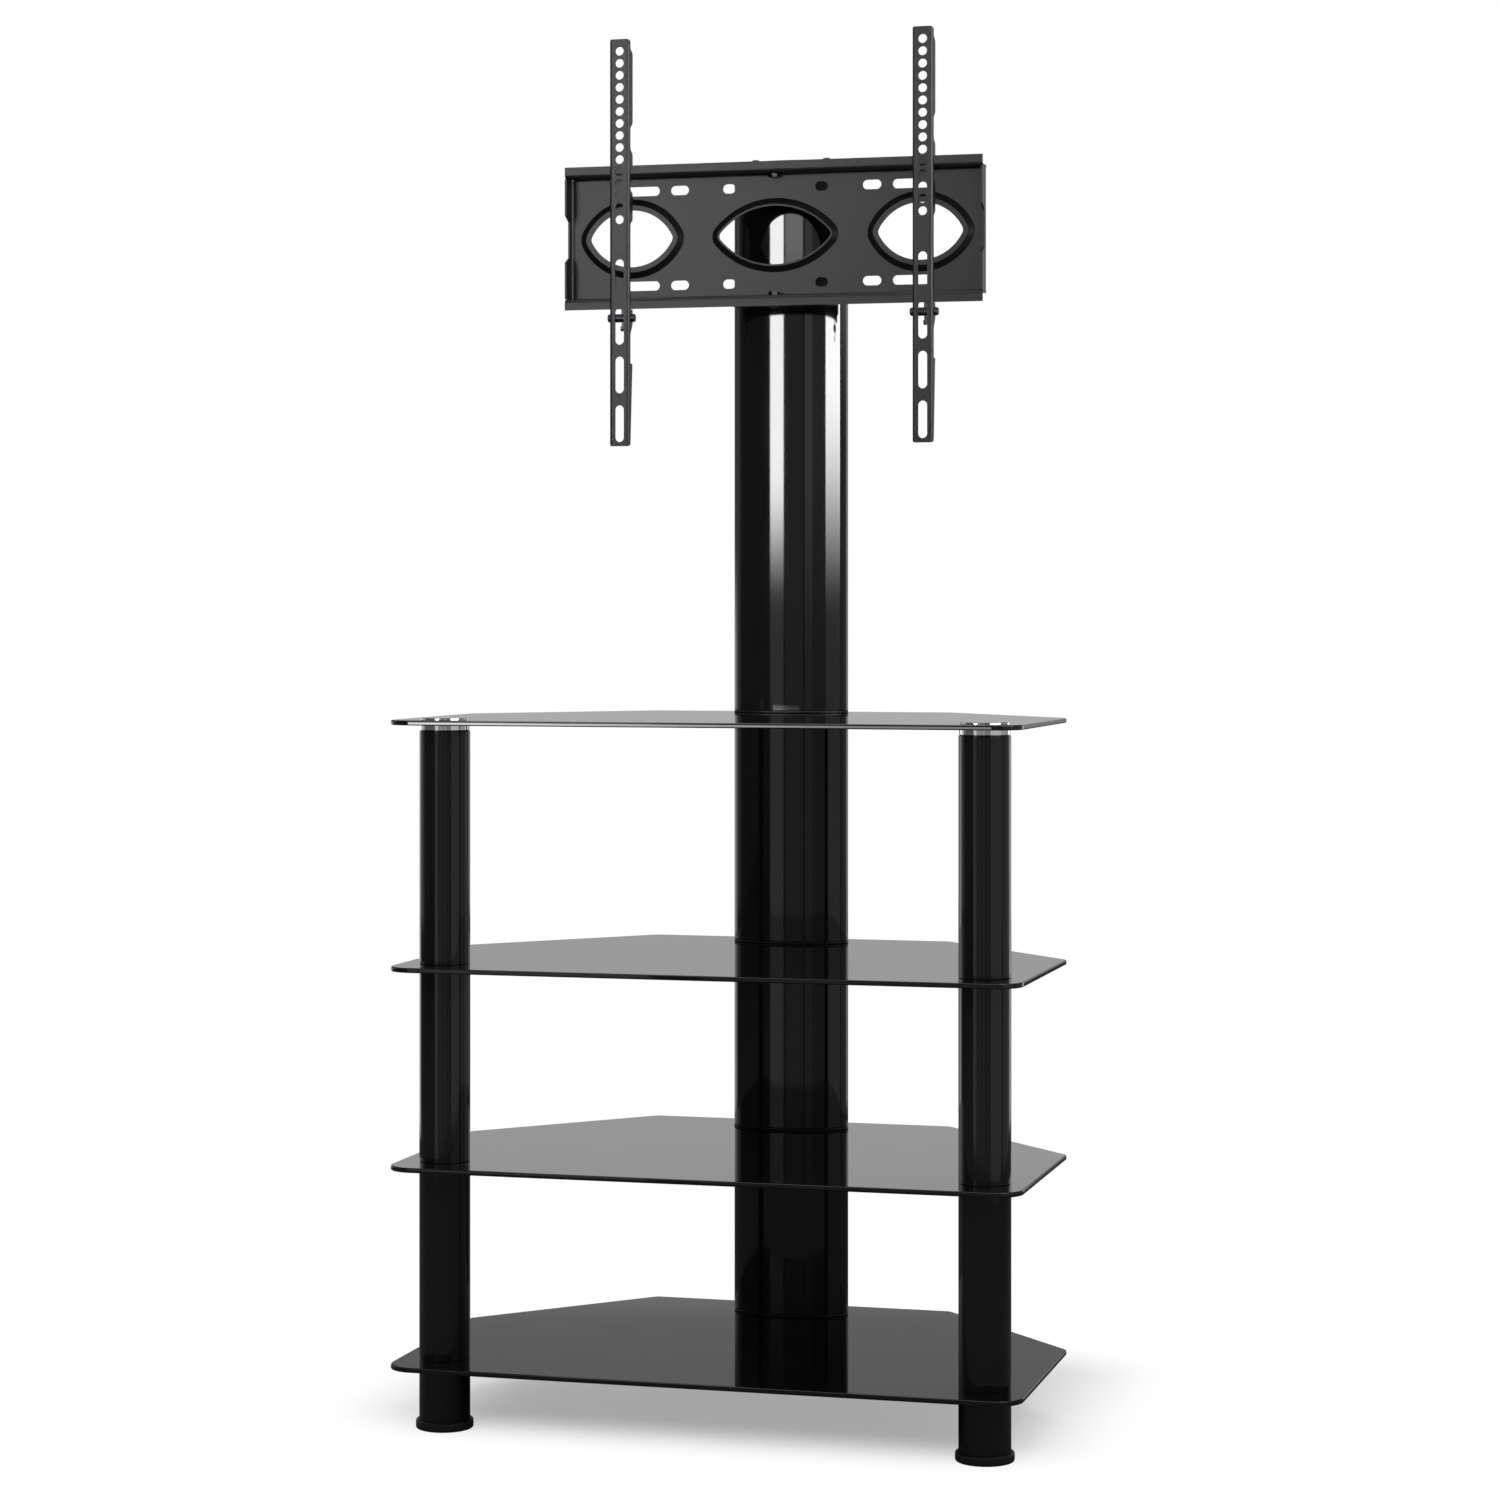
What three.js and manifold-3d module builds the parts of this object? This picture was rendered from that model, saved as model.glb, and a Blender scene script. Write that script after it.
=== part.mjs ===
// Free-standing television stand: glass shelves on two round legs and an oval rear pillar, with a
// swivelling pressed wall plate and two hooked television rails. Millimetres, +Z up, the front faces -Y.
import * as THREE from 'three';
import { mergeVertices } from 'three/addons/utils/BufferGeometryUtils.js';
import Module from 'manifold-3d';

const wasm = await Module();
wasm.setup();

// Glass shelves
const glassThickness = 5;
const glassArris = 0.5;
const shelfWidth = 637.5;
const shelfDepth = 425.5;
const shelfSideRun = 258;
const shelfBackWidth = 325.5;
const shelfFrontRadius = 27;
const shelfSideRadius = 9;
const shelfBackRadius = 9;

// Heights of the glass: under the lowest shelf, and clear between one shelf and the next
const footHeight = 64.5;
const lowerBay = 192;
const middleBay = 192;
const upperBay = 239;

// Front legs
const legRadius = 25.4;
const legWall = 1.5;
const legPlate = 2;
const legFromSide = 44;
const legFromFront = 57.75;
const capFlange = 3.35;
const capHeight = 9.5;
const capBase = 4;
const capRound = 2;
const collarHeight = 6.5;
const collarStep = 0.65;
const collarRound = 0.75;
const discRadius = 24;
const discHeight = 1.5;

// Tie rods and their hex ends
const rodRadius = 4;
const rodHeadRadius = 7;
const rodHeadHeight = 5;
const rodThreadEnd = 3;
const rodGlassGap = 1;
const headRoom = 8;

// Rear pillar of oval tube
const pillarHalfWidth = 62;
const pillarHalfDepth = 30;
const pillarWall = 2;
const pillarPlate = 4;
const pillarFromBack = 47.75;
const pillarRodSpacing = 76;
const seatRing = 2.5;
const seatProud = 0.8;
const poleLength = 579;
const ovalCapHeight = 3;
const ovalCapProud = 1;
const ovalCapSpigot = 6;
const ovalSpigotWall = 3;
const capScrewSpacing = 78;
const capScrewRadius = 2;
const capScrewHead = 6;
const capScrewDome = 5;
const capScrewLength = 16;

// Wall plate, one pressed sheet
const sheet = 2;
const sheetBend = 3;
const plateWidth = 450;
const plateBelowPoleTop = 80;
const plateFlangeSpan = 130;
const plateLip = 10.5;
const plateTrayDepth = 21.7;
const plateSideRelief = 1.5;
const plateEndLap = 8;
const sideNotchHeight = 38;
const sideNotchDepth = 11.5;
const sideNotchSlope = 6;
const plateFromPillar = 35;

// Eye openings with a raised rim: half sizes at the foot of the rim, the width of the rim, how far it
// rises towards the front and the width of its slope
const rimRise = 3;
const rimSlope = 6.4;
const middleEye = { halfLength: 68.3, halfHeight: 38.9, tip: 14.5, rim: 8.2, place: 0 };
const sideEye = { halfLength: 56.8, halfHeight: 41.8, tip: 19, rim: 11.8, place: 156.1 };

// Slots in the plate
const slotRow = 50;
const slotHeight = 10;
const slotMiddle = { place: 50, length: 14 };
const slotShort = { place: 104, length: 20 };
const slotLong = { place: 146, length: 40 };

// Swivel
const pivotBehindLip = 10.2;
const pivotRadius = 3;
const pivotHeadRadius = 5.5;
const pivotHeadHeight = 4;
const pivotThreadEnd = 1;
const washerRadius = 9;
const washerHeight = 1;
const armThickness = 4;
const armNose = 9.25;
const armHalfWidth = 55;
const armShoulder = 36;
const armSideRun = 18;
const saddleHeight = 35;
const saddleThickness = 4;
const saddleBoltSpacing = 44;
const saddleBoltRadius = 4;
const saddleBoltHead = 7;
const saddleBoltHeadHeight = 4;
const saddleBoltLength = 22;
const saddleBossRadius = 8.5;
const saddleBossProud = 1.5;
const saddleBoltShare = 0.46;

// Television rails
const railWidth = 22;
const railSpacing = 326.25;
const railAboveLip = 132.5;
const railBelowLip = 144.25;
const railShallow = 4;
const railDeep = 12;
const railCorner = 3;
const railHolePitch = 12.66;
const railFirstHole = 12.7;
const railHoleCount = 15;
const railHoleRadius = 4.65;
const railSlotPitch = 51.2;
const railFirstSlot = 251;
const railSlotCount = 4;
const railSlotLength = 38.7;
const railSlotWidth = 9.7;

// Side walls of a rail as shares: along the height above, between and below the lips, then across from
// the shallow wall (0) to the deep wall (1)
const wallAboveShares = [[1, 0], [0.925, 0], [0.895, 1], [0.335, 1], [0.3, 0], [0.125, 0], [0.095, 1]];
const wallBetweenShares = [[0.76, 0], [0.72, 1], [0.28, 1], [0.22, 0]];
const wallBelowShares = [[0, 1], [0.11, 1], [0.18, 0], [0.395, 0], [0.397, 0.9], [1, 0]];

// Latch on each rail
const pinRadius = 2.5;
const pinBelowLip = 9.25;
const pinBehindLip = 2.2;
const pinHeadRadius = 4.3;
const pinHeadHeight = 4;
const pinHeadRound = 1;
const pawlHub = 4.4;
const pawlHubWidth = 12;
const pawlHubPlace = -2.6;
const pawlBladeWidth = 3;
const pawlBladePlace = 1.5;
const pawlBlade = 3.5;
const pawlOverlap = 2;
const pawlTail = 13;
const pawlTailCurl = 4;
const pawlTailSheet = 2;
const pawlTailBend = 1.5;
const springWire = 0.8;
const springRadius = 3.8;
const springPitch = 1.3;
const springTurns = 3;
const springLeg = 4;

// Clearances
const fitGap = 0.3;
const runGap = 0.25;
const overrun = 2;

// Smoothness of round work, as counts
const tubeSides = 20;
const ovalHalfSides = 16;
const boltSides = 10;
const holeSides = 10;
const bendSteps = 2;
const cornerSteps = 3;
const tipSteps = 3;
const arcSteps = 5;
const springStepsPerTurn = 8;
const springSides = 5;
const hexSides = 6;

// Places that follow from the sizes
const fourthTop = footHeight + glassThickness;
const thirdTop = fourthTop + lowerBay + glassThickness;
const secondTop = thirdTop + middleBay + glassThickness;
const firstTop = secondTop + upperBay + glassThickness;
const legX = shelfWidth / 2 - legFromSide;
const legY = legFromFront - shelfDepth / 2;
const pillarY = shelfDepth / 2 - pillarFromBack;
const pillarFront = pillarY - pillarHalfDepth;
const poleBase = firstTop + seatRing;
const poleTop = poleBase + poleLength;
const plateZ = poleTop - plateBelowPoleTop;
const plateBack = pillarFront - plateFromPillar;
const plateMid = plateBack - sheet / 2;
const plateFront = plateBack - sheet;
const lipFront = plateBack - plateTrayDepth;
const lipMid = lipFront + sheet / 2;
const lipBack = lipFront + sheet;
const flangeOuter = plateFlangeSpan / 2 + sheet / 2;
const lipEnd = plateFlangeSpan / 2 + plateLip;
const pivotY = lipBack + pivotBehindLip;
const armInner = flangeOuter + runGap + washerHeight;
const armOuter = armInner + armThickness;
const railFace = lipFront - runGap * 2 - railShallow;
const railX = railSpacing / 2;
const pinY = lipBack + pinBehindLip;
const pinDrop = lipEnd + pinBelowLip;

// Turns and closes a surface: shared vertices merged, flat triangles dropped, faces pointing out.
function closed(geometry) {
  geometry.deleteAttribute('normal');
  geometry.deleteAttribute('uv');
  const merged = mergeVertices(geometry);
  const place = merged.attributes.position;
  const source = merged.index.array;
  const kept = [];
  const a = new THREE.Vector3();
  const b = new THREE.Vector3();
  const c = new THREE.Vector3();
  let volume = 0;
  for (let i = 0; i < source.length; i += 3) {
    const [p, q, r] = [source[i], source[i + 1], source[i + 2]];
    if (p === q || q === r || r === p) continue;
    kept.push([p, q, r]);
    a.fromBufferAttribute(place, p);
    b.fromBufferAttribute(place, q);
    c.fromBufferAttribute(place, r);
    volume += a.dot(b.cross(c));
  }
  const facing = volume < 0 ? kept.map(([p, q, r]) => [p, r, q]) : kept;
  merged.setIndex(facing.flat());
  return merged;
}

// A closed surface as a solid that can be cut and joined.
function solid(geometry) {
  const shell = closed(geometry);
  return new wasm.Manifold(new wasm.Mesh({
    numProp: 3,
    vertProperties: new Float32Array(shell.attributes.position.array),
    triVerts: new Uint32Array(shell.index.array),
  }));
}

// A finished solid back as a surface.
function surface(body) {
  const mesh = body.getMesh();
  const geometry = new THREE.BufferGeometry();
  geometry.setAttribute('position', new THREE.BufferAttribute(new Float32Array(mesh.vertProperties), 3));
  geometry.setIndex(new THREE.BufferAttribute(new Uint32Array(mesh.triVerts), 1));
  return geometry;
}

function joined(bodies) {
  return bodies.reduce((whole, body) => whole.add(body));
}

function flat(x, y) {
  return new THREE.Vector2(x, y);
}

// Extrudes a flat outline straight up from z = low.
function upright(outline, low, height) {
  const shape = outline instanceof THREE.Shape ? outline : new THREE.Shape(outline);
  const geometry = new THREE.ExtrudeGeometry(shape, { depth: height, bevelEnabled: false });
  return geometry.translate(0, 0, low);
}

// Extrudes an outline drawn in (y, z) along x, centred on x = middle.
function across(outline, middle, width) {
  const basis = new THREE.Matrix4().makeBasis(
    new THREE.Vector3(0, 1, 0),
    new THREE.Vector3(0, 0, 1),
    new THREE.Vector3(1, 0, 0),
  );
  return upright(outline, middle - width / 2, width).applyMatrix4(basis);
}

// Extrudes an outline drawn in (x, z) backwards along y, from y = near.
function backwards(outline, near, depth) {
  return upright(outline, 0, depth).rotateX(Math.PI / 2).translate(0, near + depth, 0);
}

function box(low, high) {
  const size = high.clone().sub(low);
  const middle = low.clone().add(high).multiplyScalar(1 / 2);
  return new THREE.BoxGeometry(size.x, size.y, size.z).translate(middle.x, middle.y, middle.z);
}

// Revolves a profile of (radius, height) points round the z axis.
function turned(profile, sides) {
  return new THREE.LatheGeometry(profile, sides).rotateX(Math.PI / 2);
}

// A round bar standing on z = low.
function bar(radius, low, height, sides) {
  const standing = new THREE.CylinderGeometry(radius, radius, height, sides).rotateX(Math.PI / 2);
  return standing.translate(0, 0, low + height / 2);
}

// A round bar lying along y from y = near, and one lying along x centred on x = 0.
function barBack(radius, near, length, sides) {
  return new THREE.CylinderGeometry(radius, radius, length, sides).translate(0, near + length / 2, 0);
}

function barAcross(radius, length, sides) {
  return new THREE.CylinderGeometry(radius, radius, length, sides).rotateZ(Math.PI / 2);
}

// The arc that rounds one corner of a path.
function cornerArc(before, corner, after, radius, steps) {
  const back = before.clone().sub(corner).normalize();
  const ahead = after.clone().sub(corner).normalize();
  const half = Math.acos(THREE.MathUtils.clamp(back.dot(ahead), -1, 1)) / 2;
  const centre = back.clone().add(ahead).normalize().multiplyScalar(radius / Math.sin(half)).add(corner);
  const first = back.clone().multiplyScalar(radius / Math.tan(half)).add(corner).sub(centre);
  const turn = Math.PI - 2 * half;
  const sign = back.cross(ahead) > 0 ? -1 : 1;
  const points = [];
  for (let i = 0; i <= steps; i += 1) {
    points.push(first.clone().rotateAround(flat(0, 0), (sign * turn * i) / steps).add(centre));
  }
  return points;
}

// A closed outline with each corner rounded.
function rounded(corners, radii, steps) {
  const count = corners.length;
  return corners.flatMap((corner, i) => {
    const before = corners[(i + count - 1) % count];
    const after = corners[(i + 1) % count];
    return cornerArc(before, corner, after, radii[i], steps);
  });
}

// The outline of sheet metal bent along a path: both faces of the sheet, with round bends.
function bentSheet(path, thickness, bend) {
  const side = (offset) => {
    const moved = path.map((corner, i) => {
      const before = path[Math.max(i - 1, 0)];
      const after = path[Math.min(i + 1, path.length - 1)];
      const first = (i > 0 ? corner.clone().sub(before) : after.clone().sub(corner)).normalize();
      const next = (i < path.length - 1 ? after.clone().sub(corner) : first.clone()).normalize();
      const normal = flat(-first.y - next.y, first.x + next.x);
      return normal.multiplyScalar(offset / (1 + first.dot(next))).add(corner);
    });
    return moved.flatMap((corner, i) => {
      if (i === 0 || i === path.length - 1) return [corner];
      const first = path[i].clone().sub(path[i - 1]);
      const left = first.cross(path[i + 1].clone().sub(path[i])) > 0;
      const radius = bend + (left ? -offset : offset);
      return cornerArc(moved[i - 1], corner, moved[i + 1], radius, bendSteps);
    });
  };
  return [...side(thickness / 2), ...side(-thickness / 2).reverse()];
}

// A slot outline with half-round ends, lying along x, or standing when its height is the larger.
function slotOutline(x, z, width, height) {
  const radius = Math.min(width, height) / 2;
  const reachX = width / 2 - radius;
  const reachZ = height / 2 - radius;
  const points = [];
  const half = holeSides / 2;
  const start = width > height ? -Math.PI / 2 : 0;
  for (const end of [1, -1]) {
    for (let i = 0; i <= half; i += 1) {
      const angle = start + (end > 0 ? 0 : Math.PI) + (Math.PI * i) / half;
      const reach = flat(end * reachX, end * reachZ);
      points.push(flat(radius, 0).rotateAround(flat(0, 0), angle).add(reach).add(flat(x, z)));
    }
  }
  return points;
}

function ovalShape(grow) {
  return new THREE.Shape().absellipse(0, 0, pillarHalfWidth + grow, pillarHalfDepth + grow, 0, 2 * Math.PI);
}

function ovalPrism(grow, low, height) {
  return solid(new THREE.ExtrudeGeometry(ovalShape(grow), {
    depth: height,
    bevelEnabled: false,
    curveSegments: ovalHalfSides,
  }).translate(0, 0, low));
}

// Materials
function paint(color, roughness, metalness) {
  return new THREE.MeshStandardMaterial({ color, roughness, metalness });
}

const finishes = {
  glass: () => paint('#0b0b0d', 0.04, 0),
  glossBlack: () => paint('#08080a', 0.12, 0.1),
  chrome: () => paint('#d8dadc', 0.1, 1),
  plastic: () => paint('#141416', 0.5, 0),
  powderCoat: () => paint('#2b2c2f', 0.6, 0.2),
  zinc: () => paint('#9a9c9f', 0.35, 1),
  blackScrew: () => paint('#111113', 0.35, 0.6),
  nylon: () => paint('#d9d6cc', 0.6, 0),
};

const stand = new THREE.Group();

function piece(name, geometry, finish, parent, x, y, z) {
  const mesh = new THREE.Mesh(geometry, finishes[finish]());
  mesh.name = name;
  mesh.position.set(x, y, z);
  parent.add(mesh);
  return mesh;
}

// A glass shelf: the rectangle with its rear corners cut off, ground arrises and holes for the tie rods.
function shelfGeometry() {
  const half = shelfWidth / 2;
  const front = -shelfDepth / 2;
  const back = shelfDepth / 2;
  const backHalf = shelfBackWidth / 2;
  const side = front + shelfSideRun;
  const corners = [
    flat(-half, front), flat(half, front), flat(half, side),
    flat(backHalf, back), flat(-backHalf, back), flat(-half, side),
  ];
  const radii = [
    shelfFrontRadius, shelfFrontRadius, shelfSideRadius,
    shelfBackRadius, shelfBackRadius, shelfSideRadius,
  ];
  const shape = new THREE.Shape(rounded(corners, radii, cornerSteps));
  const glass = solid(new THREE.ExtrudeGeometry(shape, {
    depth: glassThickness - 2 * glassArris,
    bevelThickness: glassArris,
    bevelSize: glassArris,
    bevelOffset: -glassArris,
    bevelSegments: 1,
  }).translate(0, 0, glassArris));
  const places = [
    [-legX, legY], [legX, legY],
    [-pillarRodSpacing / 2, pillarY], [pillarRodSpacing / 2, pillarY],
  ];
  const holes = places.map(([x, y]) => solid(
    bar(rodRadius + rodGlassGap, -overrun, glassThickness + 2 * overrun, boltSides).translate(x, y, 0),
  ));
  return surface(glass.subtract(joined(holes)));
}

piece('shelf_bottom', shelfGeometry(), 'glass', stand, 0, 0, footHeight);
piece('shelf_lower', shelfGeometry(), 'glass', stand, 0, 0, thirdTop - glassThickness);
piece('shelf_upper', shelfGeometry(), 'glass', stand, 0, 0, secondTop - glassThickness);
piece('shelf_top', shelfGeometry(), 'glass', stand, 0, 0, firstTop - glassThickness);

// A plain length of leg tube, clamped between two sheets of glass.
function legTube(length) {
  const inner = legRadius - legWall;
  return closed(turned([
    flat(inner, 0), flat(legRadius, 0), flat(legRadius, length), flat(inner, length), flat(inner, 0),
  ], tubeSides));
}

// The foot tube, with the welded plate that the head of the tie rod pulls against.
function legFootTube(length) {
  const inner = legRadius - legWall;
  const bore = rodRadius + fitGap;
  const plateTop = headRoom + legPlate;
  return closed(turned([
    flat(inner, 0), flat(legRadius, 0), flat(legRadius, length), flat(inner, length),
    flat(inner, plateTop), flat(bore, plateTop), flat(bore, headRoom), flat(inner, headRoom),
    flat(inner, 0),
  ], tubeSides));
}

function legFootCap() {
  const outer = legRadius + capFlange;
  const cup = legRadius + fitGap;
  return closed(turned([
    flat(0, 0), flat(outer - capRound, 0), flat(outer, capRound), flat(outer, capHeight - capRound),
    flat(outer - capRound / 2, capHeight), flat(cup, capHeight), flat(cup, capBase), flat(0, capBase),
  ], tubeSides));
}

function legCollar() {
  const outer = legRadius - collarStep;
  const bore = rodRadius + fitGap;
  return closed(turned([
    flat(bore, 0), flat(outer - collarRound, 0), flat(outer, collarRound),
    flat(outer, collarHeight - collarRound), flat(outer - collarRound, collarHeight),
    flat(bore, collarHeight), flat(bore, 0),
  ], tubeSides));
}

function legDisc() {
  return closed(turned([
    flat(0, 0), flat(discRadius, 0), flat(discRadius, discHeight / 2),
    flat(discRadius - discHeight / 2, discHeight), flat(0, discHeight),
  ], tubeSides));
}

// A long threaded rod with a hex head at its foot; z = 0 is where the head meets the end plate.
function tieRod(length) {
  const shaft = solid(bar(rodRadius, -rodHeadHeight / 2, length + rodHeadHeight / 2, boltSides));
  const head = solid(bar(rodHeadRadius, -rodHeadHeight, rodHeadHeight, hexSides));
  return surface(shaft.add(head));
}

for (const [side, way] of [['left', -1], ['right', 1]]) {
  const leg = new THREE.Group();
  leg.position.set(way * legX, legY, 0);
  stand.add(leg);
  piece(`leg_foot_cap_${side}`, legFootCap(), 'plastic', leg, 0, 0, 0);
  piece(`leg_foot_tube_${side}`, legFootTube(footHeight - capBase), 'glossBlack', leg, 0, 0, capBase);
  piece(`leg_lower_tube_${side}`, legTube(lowerBay), 'glossBlack', leg, 0, 0, fourthTop);
  piece(`leg_middle_tube_${side}`, legTube(middleBay), 'glossBlack', leg, 0, 0, thirdTop);
  piece(`leg_upper_tube_${side}`, legTube(upperBay - collarHeight), 'glossBlack', leg, 0, 0, secondTop);
  piece(`leg_collar_${side}`, legCollar(), 'chrome', leg, 0, 0, firstTop - glassThickness - collarHeight);
  piece(`leg_disc_${side}`, legDisc(), 'chrome', leg, 0, 0, firstTop);
  const rodFoot = capBase + headRoom;
  piece(`leg_tie_rod_${side}`, tieRod(firstTop - rodFoot), 'zinc', leg, 0, 0, rodFoot);
}

// One length of oval pillar tube. Each plate inside is given as the height of its underside, the radius
// of its two holes and their spacing.
function pillarTube(length, plates) {
  const wall = ovalPrism(0, 0, length).subtract(ovalPrism(-pillarWall, -overrun, length + 2 * overrun));
  return plates.reduce((tube, [low, radius, spacing]) => {
    const plate = ovalPrism(-pillarWall / 2, low, pillarPlate);
    const holes = [-1, 1].map((way) => solid(
      bar(radius, low - overrun, pillarPlate + 2 * overrun, boltSides).translate((way * spacing) / 2, 0, 0),
    ));
    return tube.add(plate.subtract(joined(holes)));
  }, wall);
}

function seatRingGeometry() {
  const ring = ovalPrism(seatProud, 0, seatRing);
  return surface(ring.subtract(ovalPrism(-pillarWall, -overrun, seatRing + 2 * overrun)));
}

// The moulded foot of the pillar, a shallow cup round the foot section.
function pillarFootCap() {
  const cup = ovalPrism(capFlange, 0, capHeight);
  return surface(cup.subtract(ovalPrism(fitGap, capBase, capHeight)));
}

// The moulded cap on the pole, with a spigot wall inside the tube and holes for its two screws.
function pillarTopCap() {
  const lid = ovalPrism(ovalCapProud, 0, ovalCapHeight);
  const spigot = -pillarWall - fitGap;
  const outer = ovalPrism(spigot, -ovalCapSpigot, ovalCapSpigot + ovalCapHeight / 2);
  const inner = ovalPrism(spigot - ovalSpigotWall, -ovalCapSpigot - overrun, ovalCapSpigot + overrun);
  const holes = [-1, 1].map((way) => solid(
    bar(capScrewRadius + fitGap, -overrun, ovalCapHeight + 2 * overrun, boltSides)
      .translate((way * capScrewSpacing) / 2, 0, 0),
  ));
  return surface(lid.add(outer.subtract(inner)).subtract(joined(holes)));
}

function capScrew() {
  const rings = [];
  for (let i = 0; i <= cornerSteps; i += 1) {
    const angle = (Math.PI / 2) * (i / cornerSteps);
    rings.push(flat(capScrewHead * Math.cos(angle), capScrewDome * Math.sin(angle)));
  }
  rings[cornerSteps].x = 0;
  return closed(turned([
    flat(0, -capScrewLength), flat(capScrewRadius, -capScrewLength), flat(capScrewRadius, 0), ...rings,
  ], boltSides));
}

function hexNut(radius, bore, height) {
  const thread = solid(bar(bore, -overrun, height + 2 * overrun, boltSides));
  return surface(solid(bar(radius, 0, height, hexSides)).subtract(thread));
}

const pillar = new THREE.Group();
pillar.position.set(0, pillarY, 0);
stand.add(pillar);
const rodBore = rodRadius + fitGap;
const screwBore = capScrewRadius + fitGap;
const capScrewPlate = poleLength - ovalCapSpigot - fitGap - pillarPlate;
const pillarRodFoot = capBase + headRoom;

piece('pillar_foot_cap', pillarFootCap(), 'plastic', pillar, 0, 0, 0);
const footPlates = [[headRoom, rodBore, pillarRodSpacing]];
const footSection = pillarTube(footHeight - capBase, footPlates);
piece('pillar_foot_section', surface(footSection), 'glossBlack', pillar, 0, 0, capBase);
const sections = [
  ['lower', fourthTop, lowerBay],
  ['middle', thirdTop, middleBay],
  ['upper', secondTop, upperBay],
];
for (const [name, base, bay] of sections) {
  piece(`pillar_seat_ring_${name}`, seatRingGeometry(), 'plastic', pillar, 0, 0, base);
  const section = surface(pillarTube(bay - seatRing, []));
  piece(`pillar_${name}_section`, section, 'glossBlack', pillar, 0, 0, base + seatRing);
}
piece('pillar_seat_ring_pole', seatRingGeometry(), 'plastic', pillar, 0, 0, firstTop);

// Height of the middle of a saddle's bolts, above (1) or below (-1) the middle of the plate.
function saddleBoltHeight(way) {
  return plateZ + way * (armOuter - saddleHeight * (1 - saddleBoltShare));
}

// The pole: base plate for the tie rods, top plate for the cap screws, holes for the saddle bolts.
function poleGeometry() {
  const pole = pillarTube(poleLength, [
    [0, rodBore, pillarRodSpacing],
    [capScrewPlate, screwBore, capScrewSpacing],
  ]);
  const holes = [-1, 1].flatMap((way) => [-1, 1].map((side) => solid(
    barBack(saddleBoltRadius + fitGap, -pillarHalfDepth - overrun, pillarHalfDepth, boltSides)
      .translate((side * saddleBoltSpacing) / 2, 0, saddleBoltHeight(way) - poleBase),
  )));
  return surface(pole.subtract(joined(holes)));
}

piece('pillar_pole', poleGeometry(), 'glossBlack', pillar, 0, 0, poleBase);
piece('pillar_top_cap', pillarTopCap(), 'plastic', pillar, 0, 0, poleTop);
for (const [side, way] of [['left', -1], ['right', 1]]) {
  const rodX = (way * pillarRodSpacing) / 2;
  const rodTop = poleBase + pillarPlate + rodHeadHeight + rodThreadEnd;
  piece(`pillar_tie_rod_${side}`, tieRod(rodTop - pillarRodFoot), 'zinc', pillar, rodX, 0, pillarRodFoot);
  const nut = hexNut(rodHeadRadius, rodRadius + fitGap, rodHeadHeight);
  piece(`pillar_rod_nut_${side}`, nut, 'zinc', pillar, rodX, 0, poleBase + pillarPlate);
  const screwX = (way * capScrewSpacing) / 2;
  piece(`pillar_cap_screw_${side}`, capScrew(), 'blackScrew', pillar, screwX, 0, poleTop + ovalCapHeight);
}

// Swivel arm: a flat nose round the pivot, widening to a saddle that wraps the front of the pillar.
// Drawn with the inner face of the arm at z = 0 and the saddle reaching towards the plate's middle.
function swivelArm(way) {
  const toPillar = pillarY - pivotY;
  const rear = toPillar - armSideRun / 2;
  const nose = [];
  for (let i = 0; i <= boltSides; i += 1) {
    const angle = Math.PI + (Math.PI * i) / boltSides;
    nose.push(flat(armNose * Math.cos(angle), armNose * Math.sin(angle)));
  }
  const outline = [
    ...nose,
    flat(armHalfWidth, armShoulder), flat(armHalfWidth, rear),
    flat(-armHalfWidth, rear), flat(-armHalfWidth, armShoulder),
  ];
  const low = way > 0 ? 0 : -armThickness;
  const tall = saddleHeight + overrun;
  const clear = ovalPrism(fitGap, -tall, 2 * tall).translate([0, toPillar, 0]);
  const plate = solid(upright(outline, low, armThickness));
  const saddleLow = way > 0 ? armThickness - saddleHeight : -armThickness;
  const band = ovalPrism(fitGap + saddleThickness, saddleLow, saddleHeight).translate([0, toPillar, 0]);
  const frontPart = solid(box(
    new THREE.Vector3(-armHalfWidth, 0, -tall),
    new THREE.Vector3(armHalfWidth, rear, tall),
  ));
  const boltZ = way * (armThickness - saddleHeight * (1 - saddleBoltShare));
  const bandFront = toPillar - pillarHalfDepth - fitGap - saddleThickness;
  const bosses = [-1, 1].map((side) => solid(
    barBack(saddleBossRadius, bandFront - saddleBossProud, saddleThickness + saddleBossProud, holeSides)
      .translate((side * saddleBoltSpacing) / 2, 0, boltZ),
  ));
  const boltHoles = [-1, 1].map((side) => solid(
    barBack(saddleBoltRadius + fitGap, bandFront - overrun * 2, pillarHalfDepth, holeSides)
      .translate((side * saddleBoltSpacing) / 2, 0, boltZ),
  ));
  const pivotHole = solid(bar(pivotRadius + fitGap, -tall, 2 * tall, boltSides));
  const whole = plate.add(band.intersect(frontPart)).add(joined(bosses)).subtract(clear);
  return surface(whole.subtract(joined(boltHoles)).subtract(pivotHole));
}

function saddleBolt() {
  const head = solid(barBack(saddleBoltHead, -saddleBoltHeadHeight, saddleBoltHeadHeight, boltSides));
  const shaft = solid(barBack(saddleBoltRadius, -saddleBoltHeadHeight / 2, saddleBoltLength, boltSides));
  return surface(head.add(shaft));
}

// Pivot bolt: z = 0 under its head, the shaft going up; the lower one is turned over.
function pivotBolt(length) {
  const head = solid(bar(pivotHeadRadius, -pivotHeadHeight, pivotHeadHeight, hexSides));
  const shaft = solid(bar(pivotRadius, -pivotHeadHeight / 2, length + pivotHeadHeight / 2, boltSides));
  return surface(head.add(shaft));
}

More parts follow.
